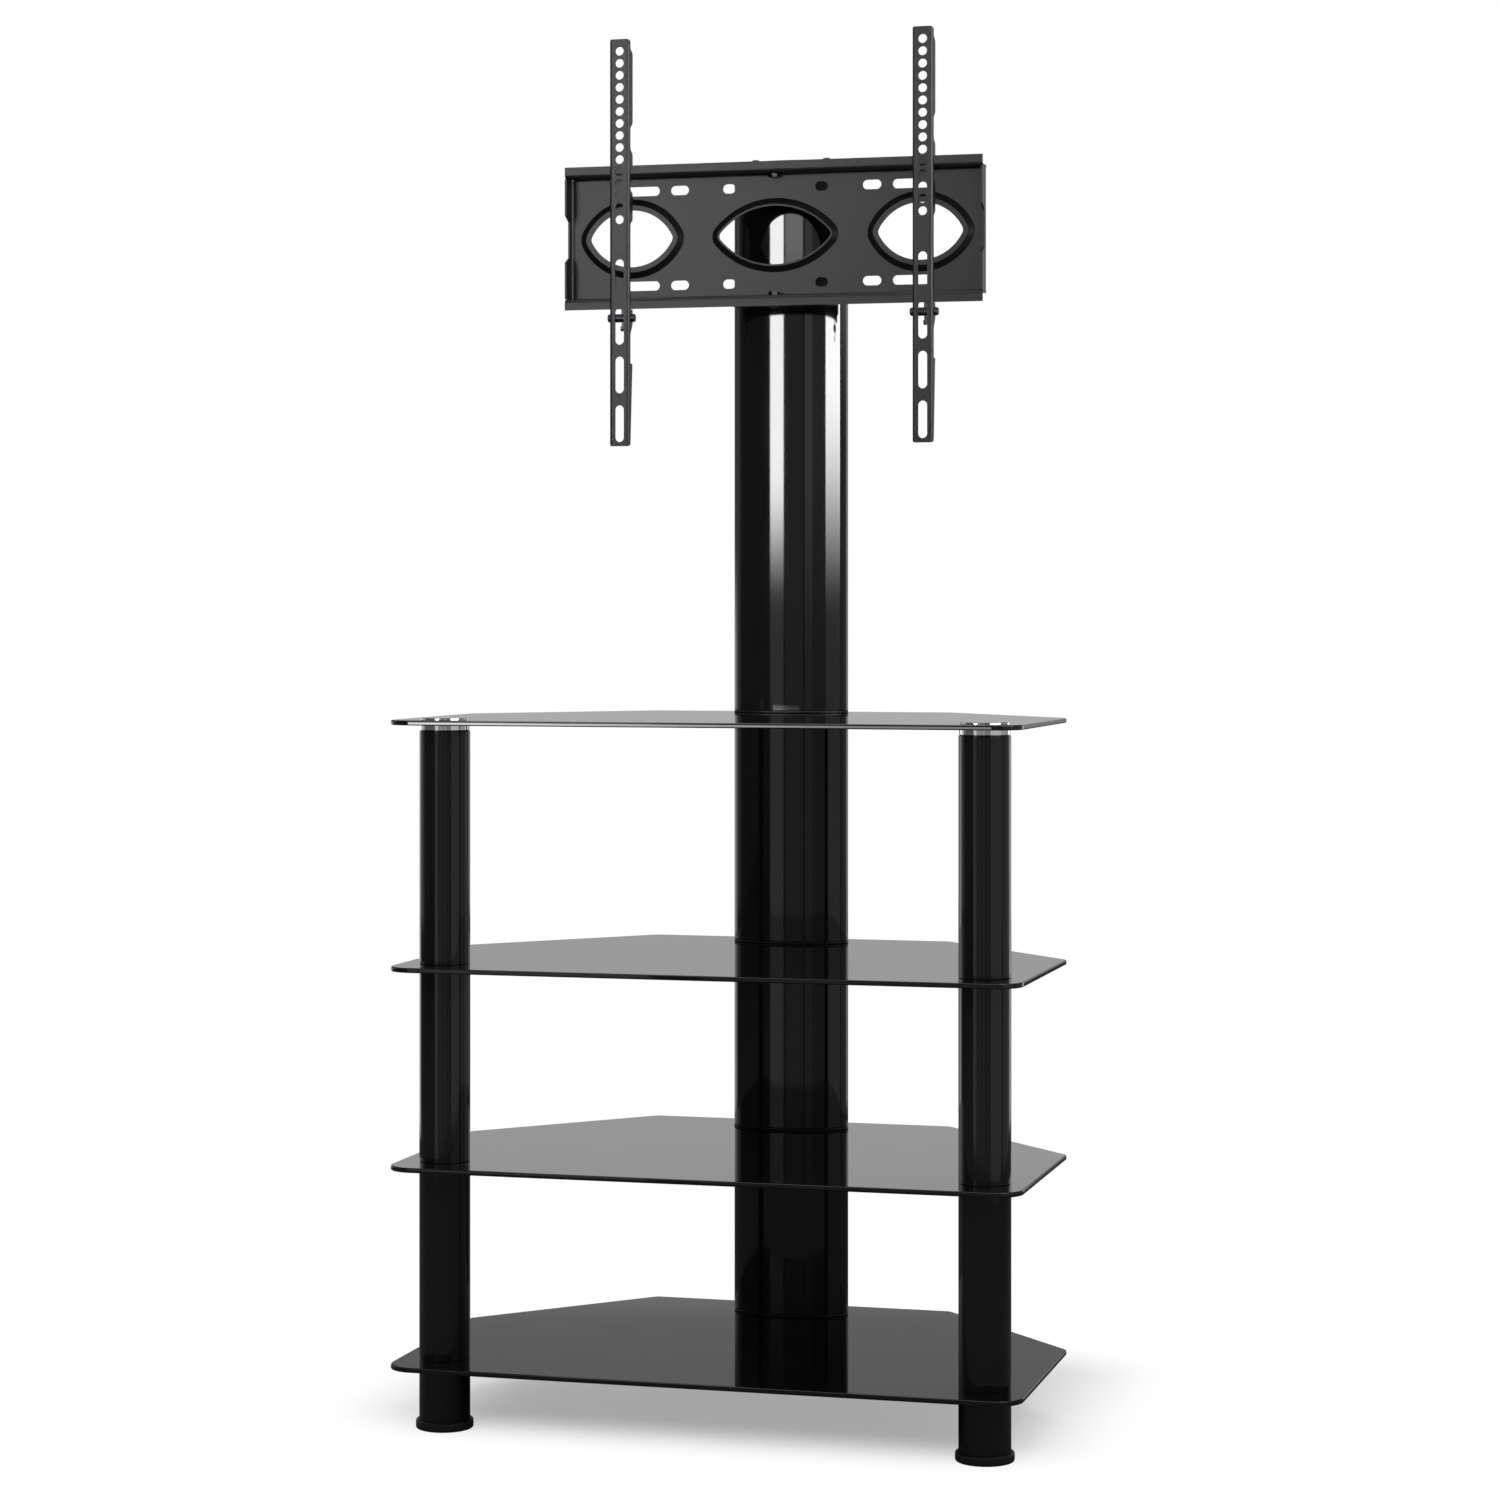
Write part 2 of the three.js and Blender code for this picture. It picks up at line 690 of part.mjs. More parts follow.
const saddleFace = pillarFront - fitGap - saddleThickness - saddleBossProud;
const pivotShank = armOuter - (flangeOuter - sheet - runGap) + pivotHeadHeight + pivotThreadEnd;
for (const [name, way] of [['upper', 1], ['lower', -1]]) {
  piece(`swivel_arm_${name}`, swivelArm(way), 'powderCoat', stand, 0, pivotY, plateZ + way * armInner);
  for (const [side, turn] of [['left', -1], ['right', 1]]) {
    const boltX = (turn * saddleBoltSpacing) / 2;
    const boltZ = saddleBoltHeight(way);
    piece(`saddle_bolt_${name}_${side}`, saddleBolt(), 'blackScrew', stand, boltX, saddleFace, boltZ);
  }
  const headZ = plateZ + way * (flangeOuter - sheet - runGap);
  const bolt = piece(`pivot_bolt_${name}`, pivotBolt(pivotShank), 'blackScrew', stand, 0, pivotY, headZ);
  const nut = hexNut(pivotHeadRadius, pivotRadius + fitGap, pivotHeadHeight);
  const nutPiece = piece(`pivot_nut_${name}`, nut, 'blackScrew', stand, 0, pivotY, plateZ + way * armOuter);
  const washer = closed(turned([
    flat(pivotRadius + fitGap, 0), flat(washerRadius, 0), flat(washerRadius, washerHeight),
    flat(pivotRadius + fitGap, washerHeight), flat(pivotRadius + fitGap, 0),
  ], holeSides));
  const washerZ = plateZ + way * (flangeOuter + runGap);
  const washerPiece = piece(`pivot_washer_${name}`, washer, 'nylon', stand, 0, pivotY, washerZ);
  if (way < 0) {
    for (const turnedOver of [bolt, nutPiece, washerPiece]) turnedOver.rotation.x = Math.PI;
  }
}

// The outline of an eye opening, moved in by offset: two long arcs joined by two tip arcs.
function eyeOutline(eye, offset) {
  const tipPlace = eye.halfLength - eye.tip;
  const reach = tipPlace ** 2 + eye.halfHeight ** 2 - eye.tip ** 2;
  const arc = reach / (2 * (eye.halfHeight - eye.tip));
  const drop = arc - eye.halfHeight;
  const tangent = Math.atan2(drop, tipPlace);
  const quarter = [];
  for (let i = 0; i < tipSteps; i += 1) {
    const angle = (tangent * i) / tipSteps;
    const radius = eye.tip - offset;
    quarter.push(flat(tipPlace + radius * Math.cos(angle), radius * Math.sin(angle)));
  }
  for (let i = 0; i <= arcSteps; i += 1) {
    const angle = tangent + ((Math.PI / 2 - tangent) * i) / arcSteps;
    const radius = arc - offset;
    quarter.push(flat(radius * Math.cos(angle), radius * Math.sin(angle) - drop));
  }
  quarter[quarter.length - 1].x = 0;
  const upper = [...quarter, ...quarter.slice(0, -1).reverse().map((p) => flat(-p.x, p.y))];
  return [...upper, ...upper.slice(1, -1).reverse().map((p) => flat(p.x, -p.y))];
}

// A solid through a row of eye outlines, each [offset, y], closed at both ends.
function eyeLoft(eye, rings) {
  const positions = [];
  const index = [];
  const loops = rings.map(([offset, y]) => eyeOutline(eye, offset).map((p) => [p.x + eye.place, y, p.y]));
  const count = loops[0].length;
  loops.flat().forEach((p) => positions.push(...p));
  for (let ring = 0; ring < rings.length - 1; ring += 1) {
    for (let i = 0; i < count; i += 1) {
      const a = ring * count + i;
      const b = ring * count + ((i + 1) % count);
      index.push(a, b, b + count, a, b + count, a + count);
    }
  }
  const last = (rings.length - 1) * count;
  for (let i = 1; i < count - 1; i += 1) {
    index.push(0, i + 1, i, last, last + i, last + i + 1);
  }
  const geometry = new THREE.BufferGeometry();
  geometry.setAttribute('position', new THREE.Float32BufferAttribute(positions, 3));
  geometry.setIndex(index);
  return solid(geometry);
}

// The wall plate: a sheet bent into a tray with lips turned outward along its top and bottom, side
// flanges with a cut-out, eye openings with raised rims and two rows of slots. Drawn about its middle.
function wallPlateGeometry() {
  const half = plateFlangeSpan / 2;
  const tray = bentSheet([
    flat(lipMid, lipEnd), flat(lipMid, half), flat(plateMid, half),
    flat(plateMid, -half), flat(lipMid, -half), flat(lipMid, -lipEnd),
  ], sheet, sheetBend);
  const sideHeight = plateFlangeSpan - sheet - 2 * plateSideRelief;
  const edge = plateWidth / 2;
  const bendZone = sheetBend + sheet / 2;
  const sideways = [1, 0, 0];
  let plate = solid(across(tray, 0, plateWidth));
  for (const way of [-1, 1]) {
    const corner = solid(box(
      new THREE.Vector3(edge - bendZone, plateFront - bendZone, -sideHeight / 2 - plateSideRelief),
      new THREE.Vector3(edge + overrun, plateBack + overrun, sideHeight / 2 + plateSideRelief),
    ));
    const flange = solid(upright(bentSheet([
      flat(edge - sheet / 2, lipFront), flat(edge - sheet / 2, plateMid),
      flat(edge - plateEndLap, plateMid),
    ], sheet, sheetBend), -sideHeight / 2, sideHeight));
    const notchHalf = sideNotchHeight / 2;
    const notch = solid(across([
      flat(lipFront - overrun, notchHalf + sideNotchSlope), flat(lipFront, notchHalf + sideNotchSlope),
      flat(lipFront + sideNotchDepth, notchHalf), flat(lipFront + sideNotchDepth, -notchHalf),
      flat(lipFront, -notchHalf - sideNotchSlope), flat(lipFront - overrun, -notchHalf - sideNotchSlope),
    ], edge, sheet * 2 + overrun));
    const placed = (body) => (way > 0 ? body : body.mirror(sideways));
    plate = plate.subtract(placed(corner)).add(placed(flange.subtract(notch)));
  }
  const rimFront = plateFront - rimRise;
  const rimStep = sheet * Math.tan(Math.atan2(rimRise, rimSlope) / 2);
  const eyes = [middleEye, sideEye, { ...sideEye, place: -sideEye.place }];
  for (const eye of eyes) {
    const boss = eyeLoft(eye, [[0, plateMid], [0, plateFront], [rimSlope, rimFront]]);
    const hollow = eyeLoft(eye, [
      [rimStep, plateBack + overrun], [rimStep, plateBack], [rimSlope + rimStep, rimFront + sheet],
    ]);
    const hole = eyeLoft(eye, [[eye.rim, rimFront - overrun], [eye.rim, plateBack + overrun]]);
    plate = plate.add(boss).subtract(hollow).subtract(hole);
  }
  const cuts = [];
  for (const slot of [slotMiddle, slotShort, slotLong]) {
    for (const [wayX, wayZ] of [[-1, -1], [-1, 1], [1, -1], [1, 1]]) {
      const outline = slotOutline(wayX * slot.place, wayZ * slotRow, slot.length, slotHeight);
      cuts.push(solid(backwards(outline, plateFront - overrun, sheet + 2 * overrun)));
    }
  }
  const pivot = solid(bar(pivotRadius + fitGap, -lipEnd, 2 * lipEnd, boltSides).translate(0, pivotY, 0));
  return surface(plate.subtract(joined(cuts)).subtract(pivot));
}

const plateGroup = new THREE.Group();
plateGroup.position.set(0, 0, plateZ);
stand.add(plateGroup);
piece('wall_plate', wallPlateGeometry(), 'powderCoat', plateGroup, 0, 0, 0);

// The side of a rail, drawn in (y, z): a straight front, and a rear edge that is deep where the rail
// hooks over the upper lip, sits in the tray and backs the latch, and shallow elsewhere.
function railSide() {
  const shallow = railFace + railShallow;
  const flare = railDeep - railShallow;
  const hook = lipEnd + fitGap;
  const tooth = lipBack + fitGap;
  const toothEnd = flangeOuter + sheetBend - sheet / 2 + fitGap;
  const notchFront = lipFront - runGap;
  const above = wallAboveShares.map(([z, y]) => flat(shallow + flare * y, hook + railAboveLip * z));
  const between = wallBetweenShares.map(([z, y]) => flat(shallow + flare * y, (plateFlangeSpan / 2) * z));
  const below = wallBelowShares.map(([z, y]) => flat(shallow + flare * y, -hook - railBelowLip * z));
  return [
    flat(railFace, hook + railAboveLip),
    ...above,
    flat(shallow + flare, toothEnd), flat(tooth, toothEnd), flat(tooth, hook), flat(notchFront, hook),
    flat(notchFront, flangeOuter), flat(shallow, flangeOuter - sheet),
    ...between,
    flat(shallow, -hook),
    ...below,
    flat(railFace, -hook - railBelowLip),
  ];
}

// A television rail: a channel with hook, round holes above and slots below.
function railGeometry() {
  const hook = lipEnd + fitGap;
  const top = hook + railAboveLip;
  const bottom = -hook - railBelowLip;
  const half = railWidth / 2;
  const wallMid = half - sheet / 2;
  const channel = bentSheet([
    flat(-wallMid, railFace + railDeep + overrun), flat(-wallMid, railFace + sheet / 2),
    flat(wallMid, railFace + sheet / 2), flat(wallMid, railFace + railDeep + overrun),
  ], sheet, sheet);
  const corners = [flat(-half, bottom), flat(half, bottom), flat(half, top), flat(-half, top)];
  const front = rounded(corners, corners.map(() => railCorner), bendSteps);
  const through = sheet + 2 * overrun;
  const blank = solid(upright(channel, bottom, top - bottom));
  const sideView = solid(across(railSide(), 0, railWidth + 2 * overrun));
  const frontView = solid(backwards(front, railFace - overrun, railDeep + 2 * overrun));
  const cuts = [];
  for (let i = 0; i < railHoleCount; i += 1) {
    const z = top - railFirstHole - i * railHolePitch;
    const hole = barBack(railHoleRadius, railFace - overrun, through, holeSides);
    cuts.push(solid(hole.translate(0, 0, z)));
  }
  for (let i = 0; i < railSlotCount; i += 1) {
    const z = top - railFirstSlot - i * railSlotPitch;
    const outline = slotOutline(0, z, railSlotWidth, railSlotLength);
    cuts.push(solid(backwards(outline, railFace - overrun, through)));
  }
  const pinHole = barAcross(pinRadius + fitGap, railWidth + 2 * overrun, boltSides);
  cuts.push(solid(pinHole.translate(0, pinY, -pinDrop)));
  return surface(blank.intersect(sideView).intersect(frontView).subtract(joined(cuts)));
}

// The riveted cross pin of a latch, with a round head outside each wall of the rail.
function latchPin() {
  const half = railWidth / 2;
  const end = half + pinHeadHeight;
  return closed(turned([
    flat(0, -end), flat(pinHeadRadius - pinHeadRound, -end), flat(pinHeadRadius, pinHeadRound - end),
    flat(pinHeadRadius, -half), flat(pinRadius, -half), flat(pinRadius, half), flat(pinHeadRadius, half),
    flat(pinHeadRadius, end - pinHeadRound), flat(pinHeadRadius - pinHeadRound, end), flat(0, end),
  ], boltSides).rotateY(Math.PI / 2));
}

// The pawl, drawn about its pin: a barrel that fills most of the rail, and beside its middle a claw
// that stands up behind the lower lip and a curled tail.
function latchPawl() {
  const clawFront = lipBack + fitGap - pinY;
  const clawTop = pinBelowLip + pawlOverlap;
  const clawBack = clawFront + pawlBlade;
  const claw = solid(across([
    flat(clawFront, clawTop), flat(clawFront + pawlBlade / 2, clawTop),
    flat(clawBack, clawTop - pawlBlade / 2), flat(clawBack, 0), flat(clawFront, 0),
  ], pawlBladePlace, pawlBladeWidth));
  const tail = solid(across(bentSheet([
    flat(0, 0), flat(0, -pawlTail), flat(-pawlTailCurl, -pawlTail),
    flat(-pawlTailCurl, pawlTailCurl - pawlTail),
  ], pawlTailSheet, pawlTailBend), pawlBladePlace, pawlBladeWidth));
  const hub = solid(barAcross(pawlHub, pawlHubWidth, tubeSides / 2).translate(pawlHubPlace, 0, 0));
  const bore = solid(barAcross(pinRadius + fitGap, 2 * railWidth, boltSides));
  return surface(hub.add(claw).add(tail).subtract(bore));
}

// The torsion spring, one unbroken wire wound on the pin, with a straight leg at each end.
function springPath() {
  const points = [];
  const steps = springTurns * springStepsPerTurn;
  for (let i = 0; i <= steps; i += 1) {
    const angle = (2 * Math.PI * i) / springStepsPerTurn;
    const x = (springPitch * i) / springStepsPerTurn;
    points.push(new THREE.Vector3(x, springRadius * Math.cos(angle), springRadius * Math.sin(angle)));
  }
  const firstLeg = points[0].clone().add(new THREE.Vector3(0, 0, -springLeg));
  const lastLeg = points[steps].clone().add(new THREE.Vector3(0, 0, springLeg));
  return [firstLeg, ...points, lastLeg];
}

// Least distance between one turn of the wire and the next, less the wire itself.
function springGap(points) {
  let least = Infinity;
  points.forEach((p, i) => points.slice(i + springStepsPerTurn / 2).forEach((q) => {
    least = Math.min(least, p.distanceTo(q) - springWire);
  }));
  return least;
}

function latchSpring() {
  const points = springPath();
  const wire = [];
  for (let i = 0; i < springSides; i += 1) {
    const angle = (2 * Math.PI * i) / springSides;
    wire.push(flat((springWire / 2) * Math.cos(angle), (springWire / 2) * Math.sin(angle)));
  }
  return closed(new THREE.ExtrudeGeometry(new THREE.Shape(wire), {
    steps: (springTurns + 1) * springStepsPerTurn,
    extrudePath: new THREE.CatmullRomCurve3(points),
    bevelEnabled: false,
  }));
}

console.log(`least gap between turns of the latch spring: ${springGap(springPath()).toFixed(2)} mm`);

for (const [side, way] of [['left', -1], ['right', 1]]) {
  const rail = new THREE.Group();
  rail.position.set(way * railX, 0, 0);
  plateGroup.add(rail);
  piece(`rail_${side}`, railGeometry(), 'powderCoat', rail, 0, 0, 0);
  piece(`latch_pin_${side}`, latchPin(), 'zinc', rail, 0, pinY, -pinDrop);
  piece(`latch_pawl_${side}`, latchPawl(), 'zinc', rail, 0, pinY, -pinDrop);
  const springX = pawlHubPlace + pawlHubWidth / 2 + springWire / 2 + fitGap;
  piece(`latch_spring_${side}`, latchSpring(), 'zinc', rail, springX, pinY, -pinDrop);
}

export default stand;
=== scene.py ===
import math

import bmesh
import bpy
from mathutils import Matrix, Vector


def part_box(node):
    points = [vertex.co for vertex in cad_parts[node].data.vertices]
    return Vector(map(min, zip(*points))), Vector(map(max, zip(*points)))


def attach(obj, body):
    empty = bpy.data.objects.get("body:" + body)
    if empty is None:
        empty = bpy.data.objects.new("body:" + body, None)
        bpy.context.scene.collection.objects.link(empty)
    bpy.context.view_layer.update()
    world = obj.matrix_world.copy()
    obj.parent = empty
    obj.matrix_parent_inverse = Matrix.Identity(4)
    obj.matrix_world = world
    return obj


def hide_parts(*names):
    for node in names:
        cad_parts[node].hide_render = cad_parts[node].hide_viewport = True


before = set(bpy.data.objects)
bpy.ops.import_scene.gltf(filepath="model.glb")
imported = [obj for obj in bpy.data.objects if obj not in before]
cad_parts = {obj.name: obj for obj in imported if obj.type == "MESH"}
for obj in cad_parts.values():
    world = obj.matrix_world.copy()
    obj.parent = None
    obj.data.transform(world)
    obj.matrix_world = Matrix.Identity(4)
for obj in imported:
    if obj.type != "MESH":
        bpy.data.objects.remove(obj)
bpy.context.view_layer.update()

# Shelves: four panes of black tempered glass, a rectangle with its rear corners cut off.
# The glass is dyed through, and its edge is ground and polished to a soft round that
# catches a thin line of light.
MM = 0.001
SHELF_NODES = ["shelf_bottom", "shelf_lower", "shelf_upper", "shelf_top"]
SHELF_SIDE_RUN = 258 * MM
SHELF_BACK_HALF = 162.75 * MM
SHELF_FRONT_ROUND = 27 * MM
SHELF_FRONT_STEPS = 14
SHELF_REAR_ROUND = 4 * MM
SHELF_REAR_STEPS = 5
GLASS_EDGE_ROUND = 1.3 * MM
GLASS_EDGE_STEPS = 3
LEVEL_SLACK = 0.1 * MM
CREASE = 32


def linear(code):
    """An sRGB hex colour as linear red, green, blue and alpha."""
    shares = [int(code[i:i + 2], 16) / 255 for i in (1, 3, 5)]
    return [c / 12.92 if c <= 0.04045 else ((c + 0.055) / 1.055) ** 2.4 for c in shares] + [1]


def add_node(tree, kind, settings, links):
    """A node, its settings of properties or of sockets, and the outputs that feed its other sockets."""
    node = tree.nodes.new(kind)
    for name, value in settings.items():
        if hasattr(node, name):
            setattr(node, name, value)
        else:
            node.inputs[name].default_value = value
    for name, source in links.items():
        tree.links.new(source, node.inputs[name])
    return node


def new_material(name):
    """An empty material and its node tree."""
    finish = bpy.data.materials.new(name)
    finish.use_nodes = True
    finish.node_tree.nodes.clear()
    return finish, finish.node_tree


def close_shader(tree, shader):
    add_node(tree, "ShaderNodeOutputMaterial", {}, {"Surface": shader.outputs[0]})


def black_glass():
    """Black tempered float glass: deep black, mirror smooth, with a faint film of dust."""
    finish, tree = new_material("black tempered glass")
    film_mm = 60
    place = add_node(tree, "ShaderNodeTexCoord", {}, {})
    cloud = add_node(tree, "ShaderNodeTexNoise", {"Scale": 1 / (film_mm * MM), "Detail": 4},
                     {"Vector": place.outputs["Object"]})
    film = add_node(tree, "ShaderNodeMapRange", {"To Min": 0.015, "To Max": 0.045},
                    {"Value": cloud.outputs["Fac"]})
    tint = add_node(tree, "ShaderNodeMix", {"data_type": "RGBA"}, {"Factor": cloud.outputs["Fac"]})
    tint.inputs[6].default_value = linear("#050506")
    tint.inputs[7].default_value = linear("#0a0a0b")
    glass = add_node(tree, "ShaderNodeBsdfPrincipled", {"IOR": 1.5},
                     {"Base Color": tint.outputs[2], "Roughness": film.outputs["Result"]})
    close_shader(tree, glass)
    return finish


def as_object(bm, name):
    """A bmesh as an object of the scene."""
    mesh = bpy.data.meshes.new(name)
    bm.to_mesh(mesh)
    bm.free()
    made = bpy.data.objects.new(name, mesh)
    bpy.context.scene.collection.objects.link(made)
    return made


def finished(bm, name, body, finish, nodes, crease=CREASE):
    """A bmesh as a piece that rides on a body and stands for its CAD nodes, sharp past crease degrees."""
    bmesh.ops.recalc_face_normals(bm, faces=bm.faces)
    piece = as_object(bm, name)
    piece.data.shade_smooth()
    piece.data.set_sharp_from_angle(angle=math.radians(crease))
    piece.data.materials.append(finish)
    shade = piece.modifiers.new("even shading", "WEIGHTED_NORMAL")
    shade.keep_sharp = True
    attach(piece, body)
    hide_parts(*nodes)
    return piece


def move_end(bm, extruded, shift):
    """Moves the new end of an extrusion by shift."""
    moved = [part for part in extruded["geom"] if isinstance(part, bmesh.types.BMVert)]
    bmesh.ops.translate(bm, verts=moved, vec=shift)


def raise_face(bm, faces, shift):
    """Extrudes faces into a solid whose far end lies shift away."""
    move_end(bm, bmesh.ops.extrude_face_region(bm, geom=faces), shift)


def ease(bm, parts, width, steps, affect):
    """Rounds edges or corners, as affect says, over a width."""
    bmesh.ops.bevel(bm, geom=parts, offset=width, offset_type="OFFSET", segments=steps, profile=0.5,
                    affect=affect, clamp_overlap=True, material=-1)


def outline_face(bm, points):
    """Lays a flat face through points and gives its corners back."""
    corners = [bm.verts.new(point) for point in points]
    bm.faces.new(corners)
    return corners


def level_edges(bm):
    return [e for e in bm.edges if abs(e.verts[0].co.z - e.verts[1].co.z) < LEVEL_SLACK]


def shelf_pane(node):
    """One pane: an outline with rounded corners, raised to its thickness, with its rims polished round."""
    low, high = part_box(node)
    bm = bmesh.new()
    side = low.y + SHELF_SIDE_RUN
    outline = [(high.x, low.y), (high.x, side), (SHELF_BACK_HALF, high.y)]
    outline += [(-x, y) for x, y in reversed(outline)]
    corners = outline_face(bm, [(x, y, low.z) for x, y in outline])
    front = [v for v in corners if v.co.y < low.y + MM]
    rear = [v for v in corners if v not in front]
    ease(bm, front, SHELF_FRONT_ROUND, SHELF_FRONT_STEPS, "VERTICES")
    ease(bm, rear, SHELF_REAR_ROUND, SHELF_REAR_STEPS, "VERTICES")
    raise_face(bm, bm.faces[:], (0, 0, high.z - low.z))
    ease(bm, level_edges(bm), GLASS_EDGE_ROUND, GLASS_EDGE_STEPS, "EDGES")
    finished(bm, f"{node}_pane", "stand", glass_finish, [node])


glass_finish = black_glass()
for shelf in SHELF_NODES:
    shelf_pane(shelf)

# Front legs: steel tube 50.8 mm across in four lengths, painted gloss black after welding.
# The paint flows out to a hard mirror with a slight orange peel, and each tube ends in a
# small turned edge where it meets the glass.
SIDES = ["left", "right"]
STACK = ["foot", "lower", "middle", "upper"]
TUBE_STEPS = 96
TUBE_WALL = 1.5 * MM
TUBE_EDGE = 0.7 * MM
SAME_POINT = 0.001 * MM


def gloss_enamel():
    """Gloss black stoving enamel: very dark, with sharp reflections and a slight orange peel."""
    finish, tree = new_material("gloss black enamel")
    peel_mm = 5
    drift_mm = 90
    place = add_node(tree, "ShaderNodeTexCoord", {}, {})
    peel = add_node(tree, "ShaderNodeTexNoise", {"Scale": 1 / (peel_mm * MM), "Detail": 1},
                    {"Vector": place.outputs["Object"]})
    bump = add_node(tree, "ShaderNodeBump", {"Strength": 0.02, "Distance": 0.1 * MM},
                    {"Height": peel.outputs["Fac"]})
    drift = add_node(tree, "ShaderNodeTexNoise", {"Scale": 1 / (drift_mm * MM), "Detail": 3},
                     {"Vector": place.outputs["Object"]})
    haze = add_node(tree, "ShaderNodeMapRange", {"To Min": 0.05, "To Max": 0.09},
                    {"Value": drift.outputs["Fac"]})
    tint = add_node(tree, "ShaderNodeMix", {"data_type": "RGBA"}, {"Factor": drift.outputs["Fac"]})
    tint.inputs[6].default_value = linear("#070708")
    tint.inputs[7].default_value = linear("#0d0d0e")
    paint = add_node(tree, "ShaderNodeBsdfPrincipled", {"IOR": 1.47},
                     {"Base Color": tint.outputs[2], "Roughness": haze.outputs["Result"],
                      "Normal": bump.outputs["Normal"]})
    close_shader(tree, paint)
    return finish


def turned(profile, place, steps, closed):
    """Spins a profile of (radius, height) round the upright line through place."""
    bm = bmesh.new()
    verts = [bm.verts.new((place.x + radius, place.y, height)) for radius, height in profile]
    edges = [bm.edges.new(pair) for pair in zip(verts, verts[1:])]
    if closed:
        edges.append(bm.edges.new((verts[-1], verts[0])))
    bmesh.ops.spin(bm, geom=verts + edges, cent=place, axis=(0, 0, 1), angle=2 * math.pi, steps=steps,
                   use_merge=True, use_duplicate=False)
    bmesh.ops.remove_doubles(bm, verts=bm.verts, dist=SAME_POINT)
    return bm


def both_ends(rim, low, high):
    """A profile with the same rim at both ends, from points of (radius, distance from the end)."""
    return [(radius, low + z) for radius, z in rim] + [(radius, high - z) for radius, z in reversed(rim)]


def middle_of(node):
    low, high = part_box(node)
    return (low + high) / 2


def leg_tube(node, place):
    """A tube length with both rims turned over by a fraction of a millimetre."""
    low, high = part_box(node)
    outer = middle_of(node).x - low.x
    cut = TUBE_EDGE / 3
    rim = [(outer - TUBE_WALL, 0), (outer - TUBE_EDGE, 0), (outer - cut, cut), (outer, TUBE_EDGE)]
    bm = turned(both_ends(rim, low.z, high.z), place, TUBE_STEPS, True)
    finished(bm, f"{node}_body", "stand", enamel_finish, [node])


enamel_finish = gloss_enamel()
for side in SIDES:
    leg_place = middle_of(f"leg_lower_tube_{side}")
    for part in STACK:
        leg_tube(f"leg_{part}_tube_{side}", leg_place)

# Leg fittings: a moulded black foot cap under each leg, a chrome collar under the top glass
# and a thin chrome disc on it, which screws down on the tie rod and clamps the stack.
CAP_ROUND = 2.2 * MM
CAP_ROUND_STEPS = 5
CAP_CUP = 0.3 * MM
CAP_BASE = 4 * MM
COLLAR_ROUND = 0.9 * MM


def satin_plastic():
    """Moulded black plastic: satin, its spark-eroded grain drawn coarser than it is to show."""
    finish, tree = new_material("moulded black plastic")
    grain_mm = 0.8
    place = add_node(tree, "ShaderNodeTexCoord", {}, {})
    grain = add_node(tree, "ShaderNodeTexNoise", {"Scale": 1 / (grain_mm * MM), "Detail": 2},
                     {"Vector": place.outputs["Object"]})
    bump = add_node(tree, "ShaderNodeBump", {"Strength": 0.15, "Distance": 0.05 * MM},
                    {"Height": grain.outputs["Fac"]})
    rough = add_node(tree, "ShaderNodeMapRange", {"To Min": 0.32, "To Max": 0.48},
                     {"Value": grain.outputs["Fac"]})
    body = add_node(tree, "ShaderNodeBsdfPrincipled", {"Base Color": linear("#101011"), "IOR": 1.46},
                    {"Roughness": rough.outputs["Result"], "Normal": bump.outputs["Normal"]})
    close_shader(tree, body)
    return finish


def clouded(name, patch_mm, detail, rough, settings):
    """A finish of one colour, whose roughness drifts between two values from patch to patch."""
    finish, tree = new_material(name)
    place = add_node(tree, "ShaderNodeTexCoord", {}, {})
    cloud = add_node(tree, "ShaderNodeTexNoise", {"Scale": 1 / (patch_mm * MM), "Detail": detail},
                     {"Vector": place.outputs["Object"]})
    haze = add_node(tree, "ShaderNodeMapRange", {"To Min": rough[0], "To Max": rough[1]},
                    {"Value": cloud.outputs["Fac"]})
    body = add_node(tree, "ShaderNodeBsdfPrincipled", settings, {"Roughness": haze.outputs["Result"]})
    close_shader(tree, body)
    return finish


def quarter_turn(steps):
    """The angles of a quarter turn, both ends with it."""
    return [math.pi / 2 * i / steps for i in range(steps + 1)]


plastic_finish = satin_plastic()
